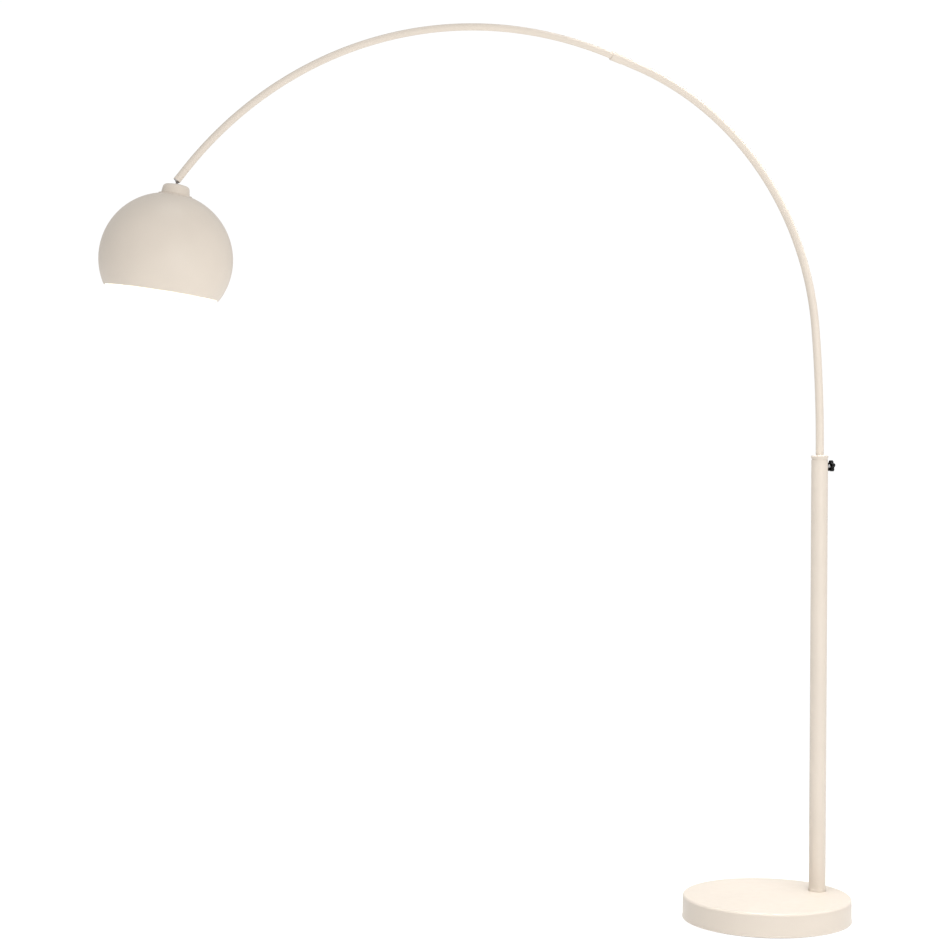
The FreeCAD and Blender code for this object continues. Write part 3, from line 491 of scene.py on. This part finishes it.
def loop_of(reach, height, segments, centre=0.0):
    """A loop's points in metres; reach(angle) is its radius in millimetres."""
    points = []
    for i in range(segments):
        angle = TAU * i / segments
        r = reach(angle)
        points.append(((centre + r * math.cos(angle)) * MM, r * math.sin(angle) * MM, height * MM))
    return points


def ring_of(radius, height, segments, centre=0.0, warp=None):
    """A circle's points, or the one point of a circle with no radius. A warp changes its radius."""
    if radius < 1e-6:
        return [(centre * MM, 0, height * MM)]
    if warp:
        return loop_of(lambda angle: radius + warp(angle, radius, height), height, segments, centre)
    return loop_of(lambda angle: radius, height, segments, centre)


def lathe(outline, segments=96, step=4.0, warp=None):
    points = outline_points(outline, step)
    return loft([ring_of(p.x, p.y, segments, warp=warp) for p in points])


def sweep(stations, radii, segments=48):
    """A tube along stations (x, z, heading) in metres, with radii (outer, inner)."""
    angles = [TAU * i / segments for i in range(segments)]

    def circle(station, radius):
        x, z, heading = station
        across = Vector((math.cos(heading), 0, math.sin(heading)))
        aside = Vector((0, 1, 0))
        middle = Vector((x, 0, z))
        return [middle + radius * (math.cos(a) * across + math.sin(a) * aside) for a in angles]

    rings = [circle(s, radii[0]) for s in stations]
    rings += [circle(s, radii[1]) for s in reversed(stations)]
    return loft(rings)


def cut(piece, cutter_bm, place):
    """Cut a shape out of a piece and drop the cutter."""
    mesh = bpy.data.meshes.new("cutter")
    cutter_bm.to_mesh(mesh)
    cutter_bm.free()
    mesh.transform(place)
    cutter = bpy.data.objects.new("cutter", mesh)
    bpy.context.scene.collection.objects.link(cutter)
    for modifier in list(piece.modifiers):
        piece.modifiers.remove(modifier)
    boolean = piece.modifiers.new("hole", "BOOLEAN")
    boolean.object = cutter
    boolean.operation = "DIFFERENCE"
    boolean.solver = "EXACT"
    graph = bpy.context.evaluated_depsgraph_get()
    result = bpy.data.meshes.new_from_object(piece.evaluated_get(graph))
    piece.modifiers.clear()
    name = piece.data.name
    old = piece.data
    piece.data = result
    bpy.data.meshes.remove(old)
    result.name = name
    bpy.data.objects.remove(cutter)
    bpy.data.meshes.remove(mesh)
    smooth(piece)


def disc(radius, bottom, top):
    return lathe([(0, bottom), (radius, bottom), (radius, top), (0, top)], 32)


def half_chord(radius, offset):
    """Half the length of a circle's chord that runs at an offset from its centre."""
    return math.sqrt(radius ** 2 - offset ** 2)


# ---------------------------------------------------------------- the arc's centre line


# How far apart a line's stations stand, in a bend and in a straight stretch.
BEND_STEP = 5.0
STRAIGHT_STEP = 40.0


def route(start, pieces):
    """Stations (x, z, heading) of a line that starts upwards and bends towards -X. Each piece is
    (length,) or (radius, degrees), in millimetres; the line is a chain of tangent arcs."""
    x, z, heading = start
    stations = [(x, z, heading)]
    for piece in pieces:
        if len(piece) == 1:
            length = piece[0] * MM
            count = math.ceil(piece[0] / STRAIGHT_STEP)
            for i in range(1, count + 1):
                along = length * i / count
                ahead = (x - along * math.sin(heading), z + along * math.cos(heading), heading)
                stations.append(ahead)
        else:
            radius, angle = piece[0] * MM, math.radians(piece[1])
            count = math.ceil(piece[0] * angle / BEND_STEP)
            for i in range(1, count + 1):
                now = heading + angle * i / count
                out = radius * (math.cos(now) - math.cos(heading))
                rise = radius * (math.sin(now) - math.sin(heading))
                stations.append((x + out, z + rise, now))
        x, z, heading = stations[-1]
    return stations


def frame_at(station):
    x, z, heading = station
    return axis_frame((x, 0, z), (-math.sin(heading), 0, math.cos(heading)))


LOWER_BENDS = [(266.3,), (2595, 5.64), (601.9, 67.58)]
UPPER_BENDS = [(824, 13.35), (809, 56)]
# Along the straight stretch after the lower bends: the coupling's foot and its length, the
# lower tube's length inside it, and where the upper tube starts and begins to bend.
COUPLING_AT = 33.5
COUPLING_LENGTH = 27.0
LOWER_INSIDE = 13.0
UPPER_AT = 12.5
UPPER_BEND_AT = 56.0
FOOT = (POLE_X, arc_low.z, 0.0)
at_straight = route(FOOT, LOWER_BENDS)[-1]
at_coupling = route(at_straight, [(COUPLING_AT,)])[-1]
at_upper = route(at_straight, [(UPPER_AT,)])[-1]
lower_line = route(FOOT, LOWER_BENDS + [(COUPLING_AT + LOWER_INSIDE,)])
upper_line = route(at_upper, [(UPPER_BEND_AT - UPPER_AT,)] + UPPER_BENDS)

# ---------------------------------------------------------------- base


def base_shell():
    """A spun drum: rounded shoulder, rolled bead at the foot, and a lip turned in under the plate."""
    top, wall, lift, shoulder = BASE_TOP / MM, 1.5, 2.0, 5.5
    bead = BASE_R / MM
    outer = bead - 0.8
    inner = outer - wall
    lip = inner - 4
    hole = POLE_R / MM + 0.2
    centre = POLE_X / MM
    segments = 256
    side = outline_points([
        (outer - shoulder, top),
        (outer, top - shoulder, shoulder, -1),
        (outer, lift + 3.9, 0.8),
        (bead, lift + 2.7, 0.7),
        (bead, lift + 0.9, 0.6),
        (bead - 0.8, lift, 0.5),
        (lip, lift, 0.3),
        (lip, lift + 1.1, 0.3),
        (inner, lift + 1.2, 0.3),
        (inner, top - shoulder),
        (outer - shoulder, top - wall, shoulder - wall, 1),
    ], step=1.0, closed=False)
    flat = outer - shoulder
    steps = 10

    def deck(height, share):
        """A ring of the flat top, from its edge at share 0 to the pole's hole at share 1."""
        return ring_of(flat + (hole - flat) * share, height, segments, centre * share)

    rings = [ring_of(p.x, p.y, segments) for p in side]
    rings += [deck(top - wall, i / steps) for i in range(1, steps + 1)]
    rings += [deck(top, i / steps) for i in range(steps, 0, -1)]
    piece = finish_mesh("base_drum", loft(rings), FLOOR, "cream_paint", "stand", ["base_shell"])
    cut(piece, disc(radius=5, bottom=168, top=178), INLET)


def floor_pad():
    radius, thick = width("floor_pad") / 2 / MM, (pad_high.z - pad_low.z) / MM
    outline = [(0, 0), (radius, 0, 0.6), (radius, thick, 0.4), (0, thick)]
    bm = lathe(outline, segments=192)
    finish_mesh("base_foam_pad", bm, FLOOR, "foam_pad", "stand", ["floor_pad"])


def cord_grommet():
    outside = BASE_R / MM - 0.75
    inside = outside - 1.75
    tail, face = inside - 2.5, outside + 1.95
    bore, groove, flange, nose = 3.5, 5, 6.6, 5.9
    outline = [
        (bore, tail, 0.4), (flange, tail, 0.5), (flange, inside, 0.3), (groove, inside, 0.1),
        (groove, outside, 0.1), (flange, outside, 0.4), (nose, face, 0.8), (bore, face, 0.6),
    ]
    bm = lathe(outline, segments=64, step=0.5)
    finish_mesh("inlet_grommet", bm, INLET, "black_rubber", "stand", ["cord_grommet"])


# ---------------------------------------------------------------- pole


def pole():
    radius, wall = POLE_R / MM, 1.5
    low, high = pole_low.z / MM, pole_high.z / MM
    bore = radius - wall
    outline = [(bore, low, 0.2), (radius, low, 0.2), (radius, high, 0.35), (bore, high, 0.2)]
    piece = finish_mesh("pole_tube", lathe(outline), POLE, "cream_paint", "stand", ["pole"])
    cut(piece, disc(radius=3.6, bottom=10, top=20), CLAMP)


def pole_foot_ring():
    radius = width("pole_foot_ring") / 2 / MM
    low, top = BASE_TOP / MM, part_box("pole_foot_ring")[1].z / MM
    inner = POLE_R / MM
    outline = [(inner, low), (radius, low, 0.25), (radius, top, 0.9), (inner, top, 0.15)]
    bm = lathe(outline, step=0.3)
    finish_mesh("pole_foot_trim", bm, POLE, "cream_paint", "stand", ["pole_foot_ring"])


def pole_collar():
    """A spigot in the pole, a flare above it, and a low dome with the arc's throat."""
    rim, neck, bush, throat = 18.6, 16.5, 9.6, 8.9
    spigot, spigot_foot = POLE_R / MM - 1.55, -50
    foot, bush_top, dome_r = -9.0, -3, 45
    outline = [
        (bush, spigot_foot), (spigot, spigot_foot, 0.4), (spigot, foot), (neck, foot, 0.15),
        (neck, foot + 1, 0.5), (rim, -1.2, 0.35), (rim - 0.4, 0, 0.35),
        (throat, COLLAR_DOME, dome_r, 1, 0.3), (throat, bush_top, 0.2), (bush, bush_top),
    ]
    bm = lathe(outline, step=1.2)
    piece = finish_mesh("pole_end_piece", bm, COLLAR, "cream_paint", "stand", ["pole_collar"])
    cut(piece, disc(radius=4.5, bottom=8, top=17), CLAMP)


# ---------------------------------------------------------------- clamp screw

METRIC_PITCH = 1.0
KNOB_TURN = math.radians(13)


def thread(pitch, depth, start, end, fade):
    """A helical V thread, as a change of radius, that runs out at both ends."""
    def warp(angle, radius, height):
        if not start < height < end:
            return 0
        phase = (height / pitch - angle / TAU) % 1
        ramp = min(1, (height - start) / fade, (end - height) / fade)
        return -depth * ramp * abs(2 * phase - 1)
    return warp


def straight_side(radius, start, end, count):
    """Points up or down a cylinder's side, close enough together to carry its thread."""
    return [(radius, start + (end - start) * i / count) for i in range(count + 1)]


def threaded(low, high, radius, step):
    return straight_side(radius, low, high, math.ceil((high - low) / step))[1:]


def clamp_stud():
    start, end, radius, bore = 11.9, 31.6, 3.0, 1.25
    bevel, socket = 0.4, 3.4
    side = threaded(start + bevel, end, radius, 0.125)
    outline = [(bore, start), (radius - bevel, start), (radius, start + bevel), *side, (0, end),
               (0, start + socket), (bore, start + socket)]
    ridges = thread(METRIC_PITCH, 0.45, start + 0.5, end - 0.2, fade=0.6)
    bm = lathe(outline, segments=48, warp=ridges)
    finish_mesh("clamp_stud_thread", bm, CLAMP, "zinc_steel", "knob", ["clamp_stud"])


def knob_reach(angle, core, lobe, out, lobes=5):
    """Outline of a star knob: round lobes on a core, with rounded valleys between them."""
    span = TAU / lobes
    off = (angle + math.pi / 2 + KNOB_TURN + span / 2) % span - span / 2
    across = out * math.sin(off)
    reach = 0.0
    if abs(across) < lobe:
        reach = out * math.cos(off) + math.sqrt(lobe ** 2 - across ** 2)
    softness = 1.1
    powers = [math.exp(value / softness) for value in (core, reach)]
    return softness * math.log(sum(powers))


def clamp_knob():
    """A moulded star knob: domed face, soft edges, and a hollow back with a hub."""
    back = (knob_low.x - POLE_X) / MM
    face = (knob_high.x - POLE_X) / MM
    half = width("clamp_knob") / 2 / MM
    core, lobe, swell, segments = 8.9, 3.9, 0.12, 240
    out = half - lobe
    wall, edge, brow = 1.5, 0.6, 1.3
    shoulder = face - 2.4
    floor = back + 6
    hub, bore, depth = 4.9, 3.02, 8.2

    def loop(height, inset, scale=1.0):
        """The star outline, set in from its full size, whose soft valleys make it swell a little."""
        def reach(angle):
            return (knob_reach(angle, core, lobe, out) - swell - inset) * scale
        return loop_of(reach, height, segments)

    rings = [[(0, 0, (back + depth) * MM)]]
    rings += [ring_of(bore, back + depth, segments), ring_of(bore, back + 0.2, segments)]
    rings += [ring_of(bore + 0.2, back, segments), ring_of(hub - 0.3, back, segments)]
    rings += [ring_of(hub, back + 0.3, segments), ring_of(hub, floor, segments)]
    rings += [loop(floor, wall), loop(back + 0.25, wall), loop(back, wall - 0.25)]
    for i in range(6):
        angle = math.pi / 2 * i / 5
        rings.append(loop(back + edge * (1 - math.cos(angle)), edge * (1 - math.sin(angle))))
    for i in range(8):
        angle = math.pi / 2 * i / 7
        rings.append(loop(shoulder - brow + brow * math.sin(angle), brow * (1 - math.cos(angle))))
    count = 16
    for i in range(1, count):
        t = 1 - i / count
        rings.append(loop(shoulder + (face - shoulder) * (1 - t ** 2), brow, t))
    rings.append([(0, 0, face * MM)])
    bm = loft(rings, closed=False)
    finish_mesh("clamp_star_knob", bm, CLAMP, "black_plastic", "knob", ["clamp_knob"])


# ---------------------------------------------------------------- arc


def arc_tubes():
    lower_wall, upper_wall = 1.4 * MM, 1.25 * MM
    lower = sweep(lower_line, (LOWER_TUBE_R, LOWER_TUBE_R - lower_wall))
    finish_mesh("arc_tube_lower", lower, FLOOR, "tube_paint", "arc", ["arc_lower_tube"])
    upper = sweep(upper_line, (UPPER_TUBE_R, UPPER_TUBE_R - upper_wall))
    finish_mesh("arc_tube_upper", upper, FLOOR, "tube_paint", "arc", ["arc_upper_tube"])


def arc_coupling():
    """A sleeve that swells from the lower tube, with a groove and a bead before its mouth."""
    lower, mouth, outer = LOWER_TUBE_R / MM, UPPER_TUBE_R / MM + 0.05, 9.4
    length, ledge = COUPLING_LENGTH, LOWER_INSIDE + 1
    outline = [
        (lower, 0, 0.1), (lower + 0.45, 0, 0.2), (outer, 5, 2.5), (outer, length - 4.4, 0.5),
        (outer - 0.25, length - 4.0, 0.3), (outer + 0.3, length - 3.3, 0.5),
        (outer + 0.3, length - 1.4, 0.7), (outer - 1.2, length, 0.9),
        (mouth, length, 0.2), (mouth, ledge), (lower, ledge),
    ]
    place = frame_at(at_coupling)
    bm = lathe(outline, segments=72, step=1.0)
    piece = finish_mesh("arc_coupling_sleeve", bm, place, "tube_paint", "arc", ["arc_coupling"])
    across = place @ axis_frame((0, 0, (length - 8) * MM), (1, 0, 0))
    cut(piece, disc(radius=2, bottom=5, top=12), across)
    grub, tip, face = 1.9, 6.8, 9.1
    bm = lathe([(0, tip), (grub, tip, 0.2), (grub, face, 0.2), (0, face)], segments=32)
    screw = finish_mesh("coupling_socket_screw", bm, across, "zinc_steel", "arc",
                        ["coupling_grub_screw"])
    key, key_tip, key_end = 1.0, 7.6, 10
    hexagon = lathe([(0, key_tip), (key, key_tip), (key, key_end), (0, key_end)], segments=6)
    cut(screw, hexagon, across)


def tip_ferrule():
    """A spigot in the upper tube, a seam, a shallow groove, and the ball joint's chamber."""
    upper, mouth, length = UPPER_TUBE_R / MM, 2.6, 27.0
    start = mouth - length
    spigot_foot = start - 10
    bore, chamber, spigot, chamber_floor = 4, 6.1, 5.6, -13
    outline = [
        (bore, spigot_foot), (spigot, spigot_foot, 0.3), (spigot, start), (upper - 0.35, start, 0.1),
        (upper - 0.35, start + 0.6, 0.1), (upper, start + 0.9, 0.15), (upper, -9.2, 0.1),
        (upper - 0.3, -8.9, 0.1), (upper - 0.3, -8.3, 0.1), (upper, -8.0, 0.15),
        (upper, mouth, 0.7), (chamber - 0.3, mouth, 0.15), (chamber - 0.3, mouth - 0.6, 0.1),
        (chamber, mouth - 0.7, 0.05), (chamber, chamber_floor), (bore, chamber_floor),
    ]
    bm = lathe(outline, segments=72, step=0.6)
    finish_mesh("arc_tip_ferrule", bm, TIP, "tube_paint", "arc", ["tip_ferrule"])


# ---------------------------------------------------------------- ball joint

CAP_APEX = -8.0
BALL_R = 5.3
STEM_R = 2.4


def ball_seat():
    """A ring whose hollow holds the ball from behind and by its lip in front."""
    seat, lip, back, chamber, foot = BALL_R + 0.05, 1.7, 3.0, 6.05, -6
    face = lip + 0.2
    in_front, behind = half_chord(seat, lip), half_chord(seat, back)
    outline = [
        (in_front + 0.18, face, 0.06), (in_front, lip, 0.04), (seat, 0, seat, -1),
        (behind, -back, seat, -1), (behind, foot), (chamber, foot, 0.1), (chamber, face, 0.2),
    ]
    finish_mesh("ball_seat", lathe(outline, step=0.5), TIP, "chrome", "tip_swivel", ["ball_seat_ring"])


def swivel_ball():
    flat, bore, recess, recess_floor = 4.4, 2.45, 2.88, 2.6
    outline = [
        (bore, -half_chord(BALL_R, bore), 0.05), (BALL_R, 0, BALL_R, 1),
        (half_chord(BALL_R, flat), flat, BALL_R, 1, 0.1), (recess, flat, 0.05),
        (recess, recess_floor), (bore, recess_floor),
    ]
    finish_mesh("ball_turned", lathe(outline, step=0.4), HEAD, "chrome", "ball", ["swivel_ball"])


def ball_neck():
    bore, head, foot, head_foot, top = 1.5, 2.8, CAP_APEX - 9, 2.7, 4.2
    outline = [
        (bore, foot, 0.2), (STEM_R, foot, 0.2), (STEM_R, head_foot), (head, head_foot, 0.1),
        (head, top, 0.3), (bore, top, 0.2),
    ]
    bm = lathe(outline, segments=64, step=0.5)
    finish_mesh("ball_neck", bm, HEAD, "dark_nickel", "head", ["ball_stem"])


# ---------------------------------------------------------------- shade

# The sphere's centre below the ball, and the rim's depth below the sphere's centre.
DROP = 148.7
CUT = 62.8
SHADE = SHADE_R / MM
SHADE_INSIDE = SHADE - 0.8
NIPPLE_R = 5.0
CAP_FOOT = -27.5


def crown(radius, sphere=SHADE):
    """Height of the dome's surface over a radius near its top."""
    return half_chord(sphere, radius) - DROP


def shade_cap():
    wall, shoulder, dome = 1.5, 8, 80
    top = CAP_APEX - 1.8
    upper, lower = 25, 26.5
    outline = [
        (STEM_R, CAP_APEX, 0.2), (upper - shoulder, top, dome, -1),
        (upper, top - shoulder, shoulder, -1), (lower, CAP_FOOT, 0.5), (lower - wall, CAP_FOOT, 0.3),
        (upper - wall, top - shoulder), (upper - shoulder, top - wall, shoulder - wall, 1),
        (STEM_R, CAP_APEX - wall, dome, 1),
    ]
    bm = lathe(outline, segments=144, step=0.8)
    finish_mesh("shade_cap_cup", bm, HEAD, "cream_paint", "head", ["shade_cap"])


def shade_seat_ring():
    """A flange on the dome's crown, with a boss that centres the cap."""
    edge, seat, boss = 31.2, 27.1, 23.8
    rim, boss_top = crown(edge), CAP_FOOT + 3
    outline = [
        (NIPPLE_R, crown(NIPPLE_R)), (edge, rim, SHADE, -1, 0.15), (edge, rim + 1.6, 0.45),
        (seat, CAP_FOOT, 0.4), (boss, CAP_FOOT, 0.1), (boss, boss_top, 0.3), (NIPPLE_R, boss_top),
    ]
    bm = lathe(outline, segments=144, step=2.0)
    finish_mesh("shade_seat_flange", bm, HEAD, "cream_paint", "head", ["shade_seat_ring"])


def shade_shell():
    """A spun dome with a small hem rolled inwards: cream outside, white inside."""
    bore, inner = NIPPLE_R, SHADE_INSIDE
    rim = -DROP - CUT
    rim_outer = half_chord(SHADE, CUT)
    outside = outline_points([(bore, crown(bore)), (SHADE, -DROP, SHADE, -1),
                              (rim_outer, rim, SHADE, -1)], step=3.0, closed=False)
    hem_r, hem_steps = 1.0, 12
    centre = Vector((rim_outer - hem_r, rim + hem_r))
    hem = []
    for i in range(1, hem_steps + 1):
        angle = -math.radians(20 + 200 * i / hem_steps)
        hem.append(centre + hem_r * Vector((math.cos(angle), math.sin(angle))))
    hem_top = 4.0
    rim_inner = half_chord(inner, CUT - hem_top)
    inside = outline_points([(rim_inner, rim + hem_top), (inner, -DROP, inner, 1),
                             (bore, crown(bore, inner), inner, 1)], step=3.0, closed=False)
    outside = [p for p in outside if p.y > rim + hem_r + 0.1]
    points = outside + hem + inside
    segments = 256
    bm = loft([ring_of(p.x, p.y, segments) for p in points])
    bm.faces.ensure_lookup_table()
    split = len(outside) + hem_steps // 2 - 1
    for index, face in enumerate(bm.faces):
        face.material_index = 1 if split <= index // segments < len(points) - 1 else 0
    finish_mesh("shade_dome", bm, HEAD, ["shade_paint", "shade_lining"], "head", ["shade_shell"])


# ---------------------------------------------------------------- inside the shade

WASHER_R = 12
UNDER_CROWN = crown(WASHER_R, SHADE_INSIDE)
WASHER_FOOT = UNDER_CROWN - 1.5
HOLDER_TOP = -39.0
HOLDER_R = 19.5
HOLDER_SPLIT = HOLDER_TOP - 18
# The screw thread of the bulb and of its holder: seven turns to the inch.
BULB_PITCH = 25.4 / 7
BULB_THREAD_R = 13.1
BULB_TOP = -68.5
BULB_CAP_FOOT = BULB_TOP - 25


def shade_nipple():
    low, high, bore = HOLDER_TOP - 10, CAP_APEX - 1.9, 2.4
    side = threaded(low, high, NIPPLE_R, 0.16)
    outline = [(bore, low), (NIPPLE_R, low), *side, (bore, high)]
    ridges = thread(METRIC_PITCH, 0.5, low + 0.2, UNDER_CROWN, fade=0.6)
    bm = lathe(outline, segments=48, warp=ridges)
    finish_mesh("nipple_thread", bm, HEAD, "zinc_steel", "head", ["shade_nipple"])


def nipple_washer():
    low, high, bore = WASHER_FOOT, UNDER_CROWN, 5.3
    outline = [(bore, low, 0.15), (WASHER_R, low, 0.3), (WASHER_R, high, 0.15), (bore, high, 0.1)]
    bm = lathe(outline, segments=64)
    finish_mesh("nipple_plain_washer", bm, HEAD, "zinc_steel", "head", ["nipple_washer"])


def nipple_nut():
    """A hexagon nut whose corners are turned off on both faces."""
    side, high = 17 / 2, WASHER_FOOT
    low = high - 5
    corner = side / math.cos(math.pi / 6)
    segments = 96

    def loop(height, limit):
        def reach(angle):
            off = (angle + math.pi / 6) % (math.pi / 3) - math.pi / 6
            return min(side / math.cos(off), limit)
        return loop_of(reach, height, segments)

    rings = [ring_of(NIPPLE_R, low, segments), ring_of(side - 0.2, low, segments)]
    rings += [loop(low + 0.12, side), loop(low + 0.7, corner), loop(high - 0.7, corner)]
    rings += [loop(high - 0.12, side), ring_of(side - 0.2, high, segments)]
    rings += [ring_of(NIPPLE_R, high, segments)]
    finish_mesh("nipple_hex_nut", loft(rings), HEAD, "zinc_steel", "head", ["nipple_nut"])


def lampholder_cap():
    """The holder's domed half, with a boss inside that screws on the nipple."""
    top, outer, boss, wall = HOLDER_TOP, HOLDER_R, 8.5, 1.5
    edge, boss_foot = top - 13, top - 10
    groove = HOLDER_SPLIT + 0.6
    outline = [
        (NIPPLE_R, top, 0.3), (boss, top, 0.8), (outer - 4, top - 7, 3.0), (outer, edge, 7, -1),
        (outer, groove), (outer - 0.4, groove), (outer - 0.4, HOLDER_SPLIT),
        (outer - wall, HOLDER_SPLIT), (outer - wall, edge), (outer - 6, top - 8.5), (boss, top - 5),
        (boss, boss_foot), (NIPPLE_R, boss_foot),
    ]
    bm = lathe(outline, segments=120, step=1.0)
    finish_mesh("holder_dome", bm, HEAD, "holder_plastic", "head", ["lampholder_cap"])


def lampholder_skirt():
    """The holder's lower half, with grip ribs round its side."""
    top, bottom, outer = HOLDER_SPLIT, HOLDER_TOP - 56, HOLDER_R
    ribs_low, ribs_high, rib_depth, rib_count = bottom + 3, top - 4, 0.35, 36
    mouth = outer - 3.5

    def ribs(angle, radius, height):
        if radius < outer - 0.05 or not ribs_low < height < ribs_high:
            return 0
        ramp = min(1, height - ribs_low, ribs_high - height)
        return -rib_depth * ramp * (0.5 - 0.5 * math.cos(angle * rib_count)) ** 2

    side = straight_side(outer, bottom, top, count=40)[1:-1]
    outline = [(outer - 1.5, top), (mouth + 2, bottom + 3), (mouth, bottom + 1.5),
               (mouth, bottom, 0.3), (outer - 0.9, bottom, 0.5), *side, (outer, top, 0.2)]
    bm = lathe(outline, segments=288, warp=ribs)
    finish_mesh("holder_ribbed_skirt", bm, HEAD, "holder_plastic", "head", ["lampholder_skirt"])


def round_thread(angle, height):
    """Depth of the bulb's rounded thread, from 0 on a crest to 1 in a valley."""
    return 0.5 - 0.5 * math.cos(TAU * height / BULB_PITCH - angle)


def thread_shell():
    low, high, fade, count = BULB_TOP - 24, BULB_TOP + 4, 1.5, 84
    inside = BULB_THREAD_R + 0.15
    wall = 0.4
    outline = straight_side(inside, high, low, count) + straight_side(inside + wall, low, high, count)

    def warp(angle, radius, height):
        ramp = max(0, min(1, (height - low) / fade, (high - height) / fade))
        return -0.1 - 0.45 * ramp * round_thread(angle, height)

    bm = lathe(outline, warp=warp)
    finish_mesh("holder_thread_shell", bm, HEAD, "brass", "head", ["thread_shell"])


def bulb_cap():
    """A threaded shell that narrows to an insulator and the contact on top."""
    top, low, outer = BULB_TOP, BULB_CAP_FOOT, BULB_THREAD_R - 0.1
    thread_low, thread_high, depth = low + 1.5, top - 5.2, 0.75
    insulator, contact = 9, 4.5

    def warp(angle, radius, height):
        if radius < outer - 0.1 or not thread_low < height < thread_high:
            return 0
        ramp = min(1, (height - thread_low) / 2, thread_high - height)
        return -depth * ramp * round_thread(angle, height)

    side = straight_side(outer, low, top - 5, count=72)
    outline = [(0, low), *side, (outer - 1.5, top - 3.5, 1.0), (insulator, top - 2.4, 0.5),
               (contact, top - 0.8, 0.4), (contact - 0.1, top, 0.3), (0, top)]
    bm = lathe(outline, warp=warp)
    finish_mesh("bulb_screw_cap", bm, HEAD, "bulb_metal", "head", ["bulb_cap"])


def bulb_glass():
    """The classic pear: a round end that runs into a neck by smooth curves."""
    low, high, radius, neck, wall = BULB_TOP - 108, BULB_CAP_FOOT, 30.0, 12.9, 0.9
    centre = low + radius
    round_steps, neck_steps, segments = 40, 30, 128
    leaning = math.radians(28)
    sweep_angle = math.pi / 2 + leaning
    points = []
    for i in range(round_steps + 1):
        angle = sweep_angle * i / round_steps - math.pi / 2
        points.append(Vector((radius * math.cos(angle), centre + radius * math.sin(angle))))
    start, end = points[-1], Vector((neck, high - 3))
    length = (end - start).length
    leave = Vector((-math.sin(leaning), math.cos(leaning))) * length * 1.1
    arrive = Vector((0, length * 0.9))
    for i in range(1, neck_steps + 1):
        t = i / neck_steps
        near, far = 2 * t ** 3 - 3 * t ** 2 + 1, 3 * t ** 2 - 2 * t ** 3
        out, home = t ** 3 - 2 * t ** 2 + t, t ** 3 - t ** 2
        points.append(near * start + out * leave + far * end + home * arrive)
    points.append(Vector((neck, high)))

    def inner(point):
        """The point's mate on the glass's inner face."""
        lift = wall * max(centre - point.y, 0) / radius
        return Vector((max(point.x - wall, 0), point.y + lift))

    points += [inner(p) for p in reversed(points)]
    bm = loft([ring_of(p.x, p.y, segments) for p in points], closed=False)
    finish_mesh("bulb_opal", bm, HEAD, "opal_glass", "head", ["bulb_glass"])


base_shell()
floor_pad()
cord_grommet()
pole()
pole_foot_ring()
pole_collar()
clamp_stud()
clamp_knob()
arc_tubes()
arc_coupling()
tip_ferrule()
ball_seat()
swivel_ball()
ball_neck()
shade_cap()
shade_seat_ring()
shade_shell()
shade_nipple()
nipple_washer()
nipple_nut()
lampholder_cap()
lampholder_skirt()
thread_shell()
bulb_cap()
bulb_glass()
